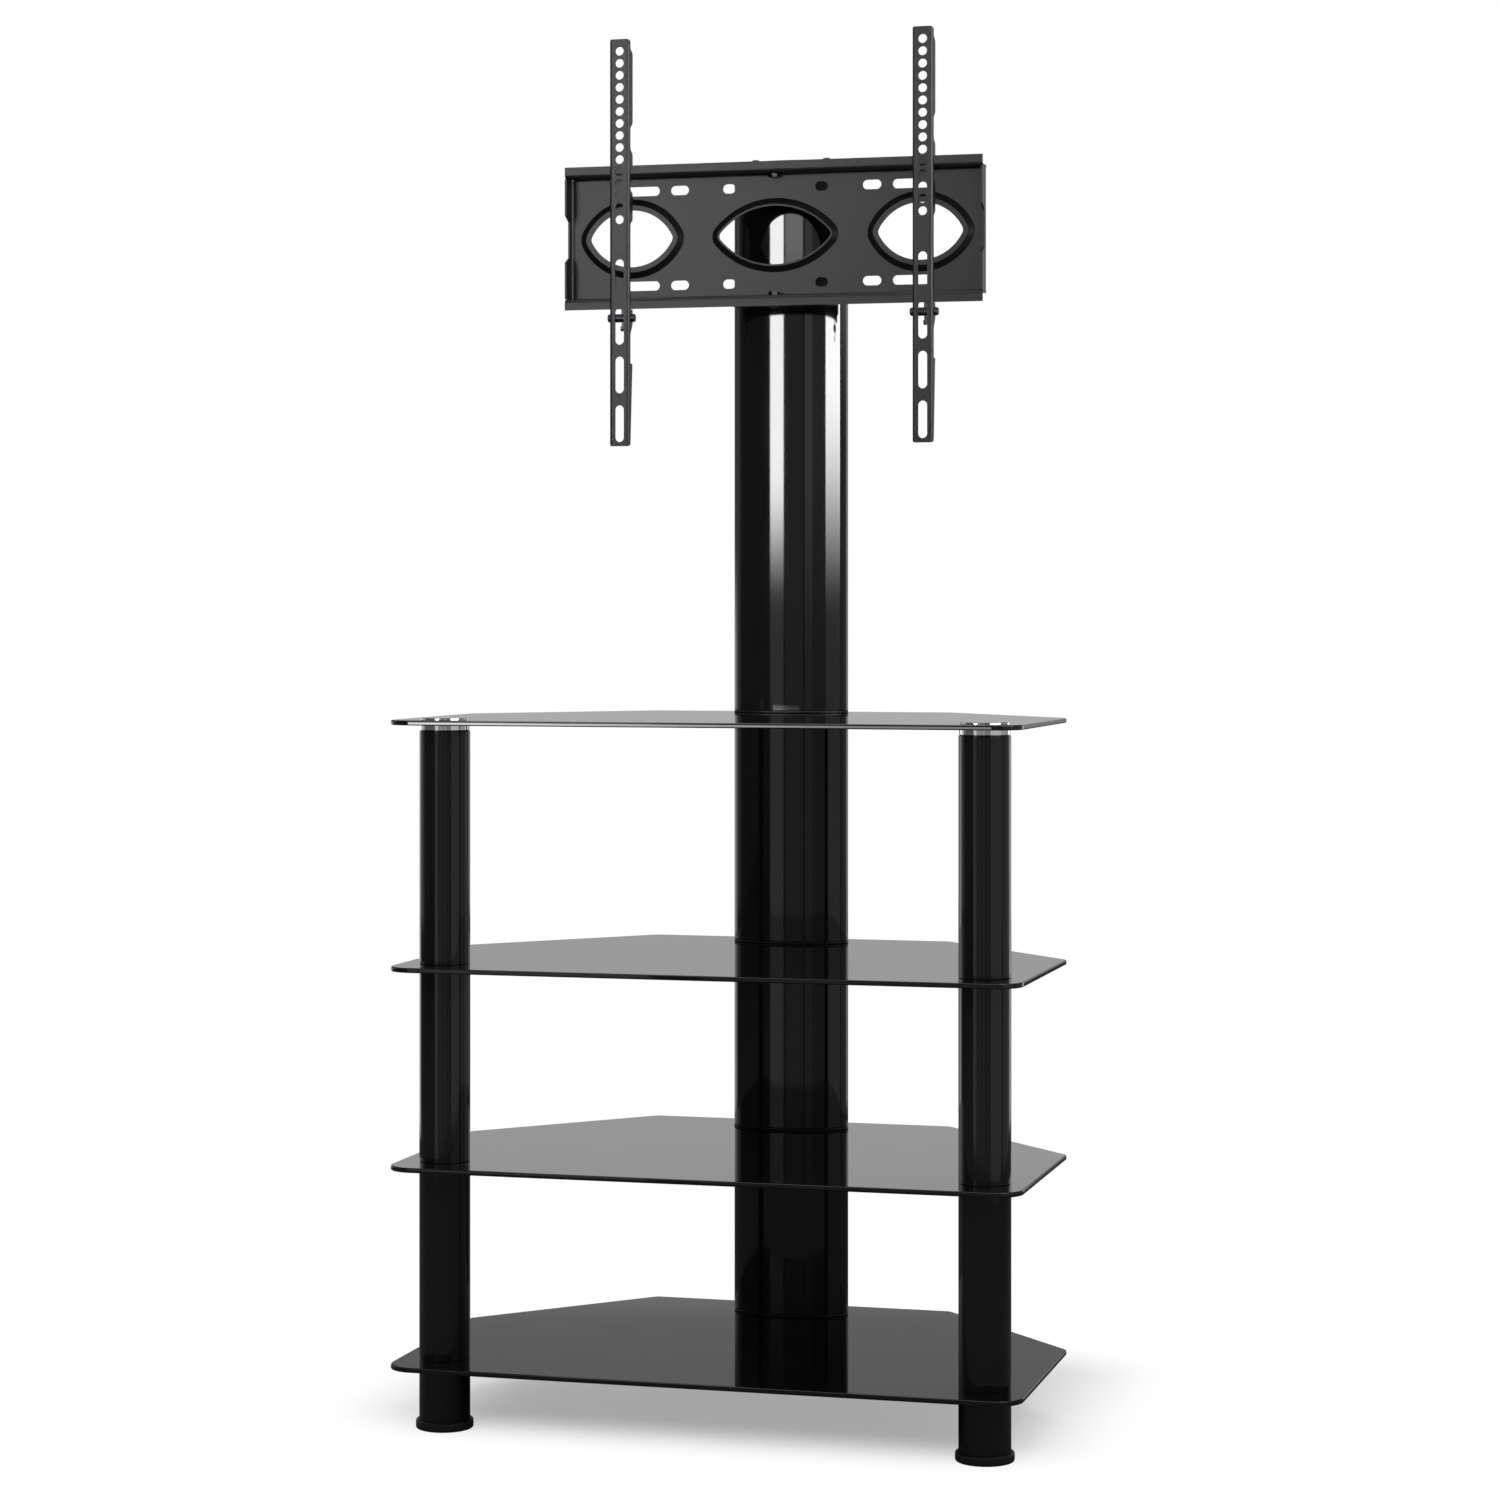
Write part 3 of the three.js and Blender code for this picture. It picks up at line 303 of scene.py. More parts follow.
# Chrome is a clean mirror with a faint polishing haze.
chrome_finish = clouded("bright chrome plate", patch_mm=12, detail=3, rough=(0.04, 0.12),
                        settings={"Base Color": linear("#e3e5e8"), "Metallic": 1})
for side in SIDES:
    leg_place = middle_of(f"leg_lower_tube_{side}")
    low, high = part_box(f"leg_lower_tube_{side}")
    tube_radius = (high.x - low.x) / 2
    node = f"leg_foot_cap_{side}"
    low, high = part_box(node)
    outer = (high.x - low.x) / 2
    arc = [(outer - CAP_ROUND + CAP_ROUND * math.sin(t), CAP_ROUND * (1 - math.cos(t)))
           for t in quarter_turn(CAP_ROUND_STEPS)]
    cup = tube_radius + CAP_CUP
    cap = [(0, low.z), *both_ends(arc, low.z, high.z), (cup, high.z), (cup, low.z + CAP_BASE),
           (0, low.z + CAP_BASE)]
    finished(turned(cap, leg_place, TUBE_STEPS, False), f"{node}_moulding", "stand",
             plastic_finish, [node])
    node = f"leg_collar_{side}"
    low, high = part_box(node)
    outer = (high.x - low.x) / 2
    rim = [(tube_radius / 2, 0), (outer - COLLAR_ROUND, 0), (outer, COLLAR_ROUND)]
    collar = turned(both_ends(rim, low.z, high.z), leg_place, TUBE_STEPS, True)
    finished(collar, f"{node}_ring", "stand", chrome_finish, [node])
    node = f"leg_disc_{side}"
    low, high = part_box(node)
    outer = (high.x - low.x) / 2
    edge = (high.z - low.z) / 2
    disc = [(0, low.z), (outer, low.z), (outer, low.z + edge), (outer - edge / 3, high.z - edge / 3),
            (outer - edge, high.z), (0, high.z)]
    finished(turned(disc, leg_place, TUBE_STEPS, False), f"{node}_face", "stand",
             chrome_finish, [node])

# Rear pillar: oval steel tube in the same gloss enamel, in sections between the shelves and one
# long pole above. Each of them sits on a thin moulded ring, and moulded caps close both ends.
OVAL_STEPS = 128
OVAL_WALL = 2 * MM
OVAL_EDGE = 0.6 * MM
RING_EDGE = 0.9 * MM
RING_TUCK = 0.6 * MM
RIM_STEPS = 3
LID_RIM_STEPS = 4


def oval_loop(bm, place, half_x, half_y, height):
    """An oval loop of edges."""
    made = bmesh.ops.create_circle(bm, cap_ends=False, segments=OVAL_STEPS, radius=1)
    bmesh.ops.scale(bm, verts=made["verts"], vec=(half_x, half_y, 1))
    bmesh.ops.translate(bm, verts=made["verts"], vec=(place.x, place.y, height))
    return list({e for v in made["verts"] for e in v.link_edges})


def outside(point, place, half_x, half_y):
    """True for a point beyond an oval."""
    return ((point.x - place.x) / half_x) ** 2 + ((point.y - place.y) / half_y) ** 2 > 1


def oval_tube(node, edge, tuck, kind, finish):
    """A length of oval tube with rounded rims, tucked in a little from the outline of its node."""
    low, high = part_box(node)
    place = middle_of(node)
    half_x = place.x - low.x - tuck
    half_y = place.y - low.y - tuck
    bm = bmesh.new()
    outer = oval_loop(bm, place, half_x, half_y, low.z)
    inner = oval_loop(bm, place, half_x - OVAL_WALL, half_y - OVAL_WALL, low.z)
    bmesh.ops.bridge_loops(bm, edges=outer + inner)
    raise_face(bm, bm.faces[:], (0, 0, high.z - low.z))
    rims = [e for e in level_edges(bm)
            if all(outside(v.co, place, half_x - OVAL_WALL / 2, half_y - OVAL_WALL / 2) for v in e.verts)]
    ease(bm, rims, edge, RIM_STEPS, "EDGES")
    finished(bm, f"{node}_{kind}", "stand", finish, [node])


def oval_lid(node, low, high):
    """A solid oval moulding with rounded rims, between two heights of its node."""
    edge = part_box(node)[0]
    place = middle_of(node)
    bm = bmesh.new()
    oval_loop(bm, place, place.x - edge.x, place.y - edge.y, low)
    bmesh.ops.contextual_create(bm, geom=bm.edges[:])
    raise_face(bm, bm.faces[:], (0, 0, high - low))
    ease(bm, level_edges(bm), RING_EDGE, LID_RIM_STEPS, "EDGES")
    finished(bm, f"{node}_moulding", "stand", plastic_finish, [node])


for node in [f"pillar_{part}_section" for part in STACK] + ["pillar_pole"]:
    oval_tube(node, OVAL_EDGE, 0, "tube", enamel_finish)
for part in STACK[1:] + ["pole"]:
    oval_tube(f"pillar_seat_ring_{part}", RING_EDGE, RING_TUCK, "moulding", plastic_finish)
# The top cap is made as its lid on the end of the pole, and the foot cap as its base.
cap_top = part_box("pillar_top_cap")[1].z
oval_lid("pillar_top_cap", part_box("pillar_pole")[1].z, cap_top)
foot_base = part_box("pillar_foot_cap")[0].z
oval_lid("pillar_foot_cap", foot_base, foot_base + CAP_BASE)

# Wall plate: one steel sheet, pressed and bent into a shallow tray with lips turned outward top and
# bottom, then coated in black powder. The three eyes have raised rims, and rows of slots
# lighten it.
PLATE_SHEET = 2 * MM
PLATE_BEND = 3 * MM
PLATE_CREASE = 20
BEND_STEPS = 6
ROUND_STEPS = 32
TRAY_HALF = 65 * MM
SIDE_RELIEF = 0.4 * MM
SIDE_NOTCH = 38 * MM
SIDE_NOTCH_DEPTH = 11.5 * MM
SIDE_NOTCH_SLOPE = 6 * MM
RIM_RISE = 3 * MM
RIM_SLOPE = 6.4 * MM
EYE_TIP_STEPS = 8
EYE_ARC_STEPS = 20
# Half the width and height of an eye, the radius of its tips, the width of its rim, and its place.
MIDDLE_EYE = {"half": 68.3 * MM, "high": 38.9 * MM, "tip": 14.5 * MM, "rim": 8.2 * MM, "place": 0}
SIDE_EYE = {"half": 56.8 * MM, "high": 41.8 * MM, "tip": 19 * MM, "rim": 11.8 * MM, "place": 156.1 * MM}
SLOT_ROW = 50 * MM
SLOT_HIGH = 10 * MM
# Distance from the middle of the plate, and length.
SLOTS = [(50 * MM, 14 * MM), (104 * MM, 20 * MM), (146 * MM, 40 * MM)]
# How far a cutter runs past what it cuts.
OVERRUN = 3 * MM
# The band of the eyes to each side, and how far the slopes of their rims face along y; these slopes get the
# painted shade.
EYES_HALF = 214 * MM
SHADED_SLOPE_FACING = (0.7, 0.97)


def powder_coat(name, dark, light, shine):
    """Black powder coat: charcoal grey in light, its pebbled grain drawn coarser than it is to show."""
    finish, tree = new_material(name)
    grain_mm = 1.1
    drift_mm = 70
    place = add_node(tree, "ShaderNodeTexCoord", {}, {})
    grain = add_node(tree, "ShaderNodeTexNoise", {"Scale": 1 / (grain_mm * MM), "Detail": 3},
                     {"Vector": place.outputs["Object"]})
    drift = add_node(tree, "ShaderNodeTexNoise", {"Scale": 1 / (drift_mm * MM), "Detail": 3},
                     {"Vector": place.outputs["Object"]})
    bump = add_node(tree, "ShaderNodeBump", {"Strength": 0.35, "Distance": 0.12 * MM},
                    {"Height": grain.outputs["Fac"]})
    tint = add_node(tree, "ShaderNodeMix", {"data_type": "RGBA"}, {"Factor": drift.outputs["Fac"]})
    tint.inputs[6].default_value = linear(dark)
    tint.inputs[7].default_value = linear(light)
    rough = add_node(tree, "ShaderNodeMapRange", {"To Min": 0.38, "To Max": 0.46},
                     {"Value": grain.outputs["Fac"]})
    coat = add_node(tree, "ShaderNodeBsdfPrincipled", {"IOR": 1.5, "Specular IOR Level": shine},
                    {"Base Color": tint.outputs[2], "Roughness": rough.outputs["Result"],
                     "Normal": bump.outputs["Normal"]})
    close_shader(tree, coat)
    return finish


def scratch(bm, name):
    """A bmesh as a working object, to be cut with or cut into."""
    bmesh.ops.recalc_face_normals(bm, faces=bm.faces)
    return as_object(bm, name)


def take_in(bm, made):
    """Adds a working object's mesh to a bmesh and removes the object."""
    bm.from_mesh(made.data)
    bpy.data.meshes.remove(made.data)


def settle(made):
    """An object's mesh, with its modifiers applied, as a bmesh."""
    bpy.context.view_layer.update()
    shape = made.evaluated_get(bpy.context.evaluated_depsgraph_get())
    bm = bmesh.new()
    bm.from_mesh(shape.to_mesh())
    shape.to_mesh_clear()
    return bm


def carve(made, tools, operation):
    """Cuts an object with tools, or joins them to it, one after the other."""
    for tool in tools:
        step = made.modifiers.new("carve", "BOOLEAN")
        step.operation = operation
        step.solver = "EXACT"
        step.object = tool
    bm = settle(made)
    for gone in [made, *tools]:
        bpy.data.meshes.remove(gone.data)
    return scratch(bm, "carved")


def bent_sheet(path, bend, run, name):
    """Sheet metal that follows a path of points with rounded bends, and runs straight across it."""
    bm = bmesh.new()
    verts = [bm.verts.new(point) for point in path]
    for pair in zip(verts, verts[1:]):
        bm.edges.new(pair)
    ease(bm, verts[1:-1], bend, BEND_STEPS, "VERTICES")
    move_end(bm, bmesh.ops.extrude_edge_only(bm, edges=bm.edges[:]), run)
    blank = scratch(bm, name)
    wall = blank.modifiers.new("sheet", "SOLIDIFY")
    wall.thickness = PLATE_SHEET
    wall.offset = 0
    wall.use_even_offset = True
    made = scratch(settle(blank), name)
    bpy.data.meshes.remove(blank.data)
    return made


def block(low, high, name):
    """A plain box cutter between two corners."""
    low, high = Vector(low), Vector(high)
    bm = bmesh.new()
    bmesh.ops.create_cube(bm, size=1)
    bmesh.ops.scale(bm, verts=bm.verts, vec=high - low)
    bmesh.ops.translate(bm, verts=bm.verts, vec=(low + high) / 2)
    return scratch(bm, name)


def slot_tool(x, z, width, height, near, far):
    """A cutter for a slot with half-round ends, run along y."""
    bm = bmesh.new()
    radius = min(width, height) / 2
    made = bmesh.ops.create_circle(bm, cap_ends=True, segments=ROUND_STEPS, radius=radius)
    # Half a step's turn keeps every corner off the middle lines, so that each belongs to one end.
    for angle, axis in ((math.pi / ROUND_STEPS, "Z"), (math.pi / 2, "X")):
        bmesh.ops.rotate(bm, verts=bm.verts, cent=(0, 0, 0), matrix=Matrix.Rotation(angle, 3, axis))
    for vert in made["verts"]:
        vert.co.x += math.copysign(width / 2 - radius, vert.co.x)
        vert.co.z += math.copysign(height / 2 - radius, vert.co.z)
    bmesh.ops.translate(bm, verts=bm.verts, vec=(x, near, z))
    raise_face(bm, bm.faces[:], (0, far - near, 0))
    return scratch(bm, "slot")


def eye_face(bm, eye, inset, y, z):
    """A flat eye of two long arcs and two tip arcs, moved in by inset, facing along y."""
    reach = eye["half"] - eye["tip"]
    arc = (reach ** 2 + eye["high"] ** 2 - eye["tip"] ** 2) / (2 * (eye["high"] - eye["tip"]))
    drop = arc - eye["high"]
    tangent = math.atan2(drop, reach)
    tip_turns = [tangent * i / EYE_TIP_STEPS for i in range(EYE_TIP_STEPS)]
    quarter = [(reach + (eye["tip"] - inset) * math.cos(t), (eye["tip"] - inset) * math.sin(t))
               for t in tip_turns]
    sweep = math.pi / 2 - tangent
    arc_turns = [tangent + sweep * i / EYE_ARC_STEPS for i in range(EYE_ARC_STEPS)]
    quarter += [((arc - inset) * math.cos(t), (arc - inset) * math.sin(t) - drop) for t in arc_turns]
    top = [(0, arc - inset - drop)]
    half = quarter + top + [(-a, b) for a, b in reversed(quarter)]
    outline = half + [(a, -b) for a, b in reversed(half[1:-1])]
    verts = [bm.verts.new((eye["place"] + a, y, z + b)) for a, b in outline]
    return bm.faces.new(verts)


def eye_tool(eye, steps, z):
    """A solid through eye faces, each given by how far it is moved in and where it lies along y."""
    bm = bmesh.new()
    faces = [eye_face(bm, eye, inset, y, z) for inset, y in steps]
    for near, far in zip(faces, faces[1:]):
        bmesh.ops.bridge_loops(bm, edges=list(near.edges) + list(far.edges))
    bmesh.ops.delete(bm, geom=faces[1:-1], context="FACES_ONLY")
    return scratch(bm, "eye")


coat_finish = powder_coat("matte black powder coat", dark="#111112", light="#161617", shine=0.21)
plate_low, plate_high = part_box("wall_plate")
plate_z = (plate_low.z + plate_high.z) / 2
plate_back = plate_high.y
plate_mid = plate_back - PLATE_SHEET / 2
plate_front = plate_back - PLATE_SHEET
lip_front = plate_low.y
lip_mid = lip_front + PLATE_SHEET / 2
edge_x = plate_high.x
bend_zone = PLATE_BEND + PLATE_SHEET / 2
flange_half = TRAY_HALF - PLATE_SHEET / 2 - SIDE_RELIEF

tray = bent_sheet([
    (-edge_x, lip_mid, plate_high.z), (-edge_x, lip_mid, plate_z + TRAY_HALF),
    (-edge_x, plate_mid, plate_z + TRAY_HALF), (-edge_x, plate_mid, plate_z - TRAY_HALF),
    (-edge_x, lip_mid, plate_z - TRAY_HALF), (-edge_x, lip_mid, plate_low.z),
], PLATE_BEND, (2 * edge_x, 0, 0), "tray")
corner_tools = [block(
    (way * edge_x - bend_zone, plate_front - bend_zone, plate_z - flange_half - SIDE_RELIEF),
    (way * edge_x + bend_zone, plate_back + OVERRUN, plate_z + flange_half + SIDE_RELIEF), "corner")
    for way in (-1, 1)]
tray = carve(tray, corner_tools, "DIFFERENCE")
eyes = [MIDDLE_EYE, SIDE_EYE, {**SIDE_EYE, "place": -SIDE_EYE["place"]}]
rim_front = plate_front - RIM_RISE
rim_step = PLATE_SHEET * math.tan(math.atan2(RIM_RISE, RIM_SLOPE) / 2)
bosses = [eye_tool(eye, [(0, plate_mid), (0, plate_front), (RIM_SLOPE, rim_front)], plate_z)
          for eye in eyes]
hollows = [eye_tool(eye, [(rim_step, plate_back + OVERRUN), (rim_step, plate_back),
                          (RIM_SLOPE + rim_step, rim_front + PLATE_SHEET)], plate_z) for eye in eyes]
openings = [eye_tool(eye, [(eye["rim"], rim_front - OVERRUN), (eye["rim"], plate_back + OVERRUN)], plate_z)
            for eye in eyes]
tray = carve(tray, bosses, "UNION")
tray = carve(tray, hollows, "DIFFERENCE")
slots = [slot_tool(way_x * x, plate_z + way_z * SLOT_ROW, length, SLOT_HIGH,
                   plate_front - OVERRUN, plate_back + OVERRUN)
         for x, length in SLOTS for way_x in (-1, 1) for way_z in (-1, 1)]
tray = carve(tray, openings + slots, "DIFFERENCE")
plate_bm = bmesh.new()
take_in(plate_bm, tray)
for way in (-1, 1):
    flange = bent_sheet([
        (way * (edge_x - PLATE_SHEET / 2), lip_front, plate_z - flange_half),
        (way * (edge_x - PLATE_SHEET / 2), plate_mid, plate_z - flange_half),
        (way * (edge_x - bend_zone), plate_mid, plate_z - flange_half),
    ], PLATE_BEND, (0, 0, 2 * flange_half), "flange")
    notch = bmesh.new()
    mouth = SIDE_NOTCH / 2 + SIDE_NOTCH_SLOPE
    upper = [(-OVERRUN, mouth), (0, mouth), (SIDE_NOTCH_DEPTH, SIDE_NOTCH / 2)]
    outline = upper + [(y, -z) for y, z in reversed(upper)]
    outline_face(notch, [(way * edge_x - OVERRUN, lip_front + y, plate_z + z) for y, z in outline])
    raise_face(notch, notch.faces[:], (2 * OVERRUN, 0, 0))
    take_in(plate_bm, carve(flange, [scratch(notch, "notch")], "DIFFERENCE"))
# The slopes of the eye rims get a second coat, nearly black and dull: painted shade that darkens these
# slopes of the raised rims as shade would.
for face in plate_bm.faces:
    place = face.calc_center_median()
    in_eyes = abs(place.x) < EYES_HALF and abs(place.z - plate_z) < SIDE_EYE["high"]
    if in_eyes and SHADED_SLOPE_FACING[0] < abs(face.normal.y) < SHADED_SLOPE_FACING[1]:
        face.material_index = 1
plate = finished(plate_bm, "wall_plate_pressing", "wall_plate", coat_finish, ["wall_plate"],
                 crease=PLATE_CREASE)
# The second slot holds the painted shade of the rim slopes.
plate.data.materials.append(
    powder_coat("powder coat darkened as painted shade on rim slopes", dark="#08080a", light="#0b0b0c", shine=0.05))

# Television rails: two channels of 2 mm steel, each pressed with a hook that hangs over the upper
# lip, round holes above and slots below. Their side walls run deep only where they bear.
RAIL_BEND = 2 * MM
RAIL_CORNER = 3 * MM
CORNER_STEPS = 5
# How many, how far the first lies below the top of the rail, and their pitch.
RAIL_HOLES = (15, 12.7 * MM, 12.66 * MM)
RAIL_SLOTS = (4, 251 * MM, 51.2 * MM)
# Width and height of each.
RAIL_HOLE = (9.3 * MM, 9.3 * MM)
RAIL_SLOT = (9.7 * MM, 38.7 * MM)
PIN_HOLE = 2.8 * MM
# Behind the origin, and above the plate's middle.
PIN_PLACE = (82.5 * MM, -84.75 * MM)
# Keeps two faces from lying in one plane.
HAIR = 0.01 * MM
# Corners of the side view in millimetres: behind the origin, above the plate's middle, rounding.
RAIL_SIDE = [
    (72.8, 209.3, 0), (77.8, 209.3, 0), (77.8, 198.36, 2.5), (85.8, 194.39, 2.5), (85.8, 120.19, 2.5),
    (77.8, 115.55, 2.5), (77.8, 92.36, 2.5), (85.8, 88.39, 2.5), (85.8, 68.3, 1), (80.6, 68.3, 0.5),
    (80.6, 75.8, 0), (78.05, 75.8, 0), (78.05, 66, 0), (77.8, 64, 0), (77.8, 49.4, 2.5), (85.8, 46.8, 2.5),
    (85.8, 18.2, 2.5), (77.8, 14.3, 2.5), (77.8, -75.8, 0), (85.8, -75.8, 1), (85.8, -91.67, 2.5),
    (77.8, -101.77, 2.5), (77.8, -132.78, 0), (85, -133.07, 0.5), (77.72, -221.05, 0), (72.8, -221.05, 0),
]


def laid_across(bm, place):
    """Lays a shape about the upright line on its side, along x, and moves it to place."""
    bmesh.ops.rotate(bm, verts=bm.verts, cent=(0, 0, 0), matrix=Matrix.Rotation(math.pi / 2, 3, "Y"))
    bmesh.ops.translate(bm, verts=bm.verts, vec=place)
    return bm


def bar_tool(radius, low, high, y, z):
    """A round cutter along x."""
    bm = bmesh.new()
    bmesh.ops.create_circle(bm, cap_ends=True, segments=ROUND_STEPS, radius=radius)
    laid_across(bm, (low, y, z))
    raise_face(bm, bm.faces[:], (high - low, 0, 0))
    return scratch(bm, "bar")


def rail_pressing():
    """One rail about x = 0: a channel, trimmed to its side view and front view, then punched."""
    low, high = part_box("rail_left")
    half = (high.x - low.x) / 2
    wall = half - PLATE_SHEET / 2
    web = low.y + PLATE_SHEET / 2
    rim = high.y + OVERRUN
    channel = bent_sheet([(-wall, rim, low.z), (-wall, web, low.z), (wall, web, low.z), (wall, rim, low.z)],
                         RAIL_BEND, (0, 0, high.z - low.z), "channel")
    side = bmesh.new()
    corners = outline_face(side, [(-half - OVERRUN, y * MM, plate_z + z * MM) for y, z, _ in RAIL_SIDE])
    for rounding in sorted({row[2] for row in RAIL_SIDE} - {0}):
        alike = [v for v, row in zip(corners, RAIL_SIDE) if row[2] == rounding]
        ease(side, alike, rounding * MM, CORNER_STEPS, "VERTICES")
    raise_face(side, side.faces[:], (2 * (half + OVERRUN), 0, 0))
    front = bmesh.new()
    edge, foot, top = half + HAIR, low.z - HAIR, high.z + HAIR
    corners = outline_face(front, [(x, low.y - OVERRUN, z) for x, z in
                                   ((-edge, foot), (edge, foot), (edge, top), (-edge, top))])
    ease(front, corners, RAIL_CORNER, CORNER_STEPS, "VERTICES")
    raise_face(front, front.faces[:], (0, high.y - low.y + 2 * OVERRUN, 0))
    blank = carve(channel, [scratch(side, "side"), scratch(front, "front")], "INTERSECT")
    near, far = low.y - OVERRUN, low.y + PLATE_SHEET + OVERRUN
    punches = []
    for (count, first, pitch), size in ((RAIL_HOLES, RAIL_HOLE), (RAIL_SLOTS, RAIL_SLOT)):
        punches += [slot_tool(0, high.z - first - pitch * i, *size, near, far) for i in range(count)]
    y, z = PIN_PLACE
    punches.append(bar_tool(PIN_HOLE, -half - OVERRUN, half + OVERRUN, y, plate_z + z))
    return carve(blank, punches, "DIFFERENCE")


rail_made = rail_pressing()
for side in SIDES:
    rail_bm = bmesh.new()
    rail_bm.from_mesh(rail_made.data)
    bmesh.ops.translate(rail_bm, verts=rail_bm.verts, vec=(middle_of(f"rail_{side}").x, 0, 0))
    rail = finished(rail_bm, f"rail_{side}_pressing", f"rail_{side}", coat_finish,
                    [f"rail_{side}"])
    # The pillar and the glass of the photograph show no mirror image of the rails.
    rail.visible_glossy = False
bpy.data.meshes.remove(rail_made.data)

# Latches: a riveted pin of zinc plated steel crosses each rail and carries a pawl, whose claw stands
# up behind the lower lip and whose curled tail is pulled to free it. A wound spring closes it.
SMALL_STEPS = 48
# Radius, height and rounding.
PIN_HEAD = (4.3 * MM, 4 * MM, 1.8 * MM)
PIN_HEAD_STEPS = 6
PIN_RADIUS = 2.5 * MM
# Bore, radius, both ends along the pin from the middle of the rail, and the ease of its edges.
HUB = (2.8 * MM, 4.4 * MM, -8.6 * MM, 3.4 * MM, 0.5 * MM)
BLADE = 3 * MM
# Corners of the two blades in millimetres, backwards and upwards from the pin.
CLAW = [(-1.9, 3.2), (-1.9, 11.25), (-0.15, 11.25), (1.6, 9.5), (1.6, 3.2)]
CLAW_ROUND = 0.6 * MM
TAIL = [(0, -3.2), (0, -13), (-4, -13), (-4, -9)]
TAIL_BEND = 1.5 * MM
WIRE = 0.8 * MM
WIRE_STEPS = 12
WIRE_CREASE = 50
# Radius, pitch, turns and steps to a turn.
COIL = (3.8 * MM, 1.3 * MM, 3, 24)
COIL_START = 4.1 * MM
COIL_LEG = 4 * MM


def rivet(half, place):
    """A pin with a rounded head at each end, outside the walls of the rail."""
    radius, height, rounding = PIN_HEAD
    arc = [(radius - rounding + rounding * math.cos(t), half + height - rounding + rounding * math.sin(t))
           for t in quarter_turn(PIN_HEAD_STEPS)]
    upper = [(PIN_RADIUS, half), (radius, half), *arc, (0, half + height)]
    profile = [(r, -h) for r, h in reversed(upper)] + upper
    return laid_across(turned(profile, Vector(), SMALL_STEPS, False), place)


def pawl(place):
    """A barrel on the pin, with a claw above and a curled tail below."""
    bore, outer, start, end, edge = HUB
    rim = [(bore, 0), (outer - edge, 0), (outer, edge)]
    bm = laid_across(turned(both_ends(rim, start, end), Vector(), SMALL_STEPS, True), place)
    claw = bmesh.new()
    corners = outline_face(claw, [(0, y * MM, z * MM) for y, z in CLAW])
    ease(claw, corners[1:4], CLAW_ROUND, CORNER_STEPS, "VERTICES")
    raise_face(claw, claw.faces[:], (BLADE, 0, 0))
    tail = bent_sheet([(0, y * MM, z * MM) for y, z in TAIL], TAIL_BEND, (BLADE, 0, 0), "tail")
    for blade in (scratch(claw, "claw"), tail):
        blade.data.transform(Matrix.Translation(place))
        take_in(bm, blade)
    return bm


def torsion_spring(place):
    """One length of wire wound round the pin, with a straight leg at each end."""
    radius, pitch, turns, steps = COIL
    start = place + Vector((COIL_START, 0, 0))
    bm = bmesh.new()
    bmesh.ops.create_circle(bm, cap_ends=True, segments=WIRE_STEPS, radius=WIRE / 2)
    bmesh.ops.translate(bm, verts=bm.verts, vec=start + Vector((0, radius, 0)))
    wound = bmesh.ops.spin(bm, geom=bm.verts[:] + bm.edges[:] + bm.faces[:], cent=start, axis=(1, 0, 0),
                           dvec=(pitch / steps, 0, 0), angle=2 * math.pi * turns, steps=turns * steps,
                           use_merge=False, use_duplicate=False)
    last = [part for part in wound["geom_last"] if isinstance(part, bmesh.types.BMFace)]
    raise_face(bm, last, (0, 0, COIL_LEG))
    first = [f for f in bm.faces
             if len(f.verts) == WIRE_STEPS and abs(f.calc_center_median().x - start.x) < HAIR]
    raise_face(bm, first, (0, 0, -COIL_LEG))
    return bm


# Zinc plate, dulled, is a grey metal with a fine spangle.
zinc_finish = clouded("dark zinc plate", patch_mm=1.5, detail=2, rough=(0.3, 0.5),
                      settings={"Base Color": linear("#303134"), "Metallic": 1})
for side in SIDES:
    low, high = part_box(f"rail_{side}")
    place = Vector(((low.x + high.x) / 2, PIN_PLACE[0], plate_z + PIN_PLACE[1]))
    finished(rivet((high.x - low.x) / 2, place), f"latch_pin_{side}_rivet", f"rail_{side}",
             zinc_finish, [f"latch_pin_{side}"])
    finished(pawl(place), f"latch_pawl_{side}_pressing", f"latch_pawl_{side}", zinc_finish,
             [f"latch_pawl_{side}"])
    finished(torsion_spring(place), f"latch_spring_{side}_wire", f"rail_{side}", zinc_finish,
             [f"latch_spring_{side}"], crease=WIRE_CREASE)

# Swivel: an upper and a lower arm of 4 mm steel, each welded to a saddle that wraps the front of the
# pillar and takes two button bolts. A hex bolt and nut with a nylon washer makes each pivot.
ARM_EASE = 0.6 * MM
ARM_EASE_STEPS = 2
# Degrees between faces: up to the first they are one face, and past the second their edge is eased.
ONE_FACE = 1
SHARP_EDGE = 40
HEX_SIDES = 6
BUTTON_LAND = 0.8 * MM
BUTTON_STEPS = 8
# Radius and height of the head, and radius of the shank.
SADDLE_BUTTON = (7 * MM, 4 * MM, 4 * MM)
SADDLE_SOCKET = 2.9 * MM
CAP_BUTTON_RADIUS = 6 * MM
CAP_SHANK_RADIUS = 2 * MM
CAP_SOCKET = 2.3 * MM
SOCKET_DEPTH = 2.2 * MM
THREAD_EASE = 0.5 * MM
HEX_RADIUS = 5.5 * MM
HEX_HIGH = 4 * MM
HEX_CHAMFER = 0.7 * MM
PIVOT_RADIUS = 3 * MM
WASHER_PLAY = 0.3 * MM
WASHER_EASE = 0.25 * MM


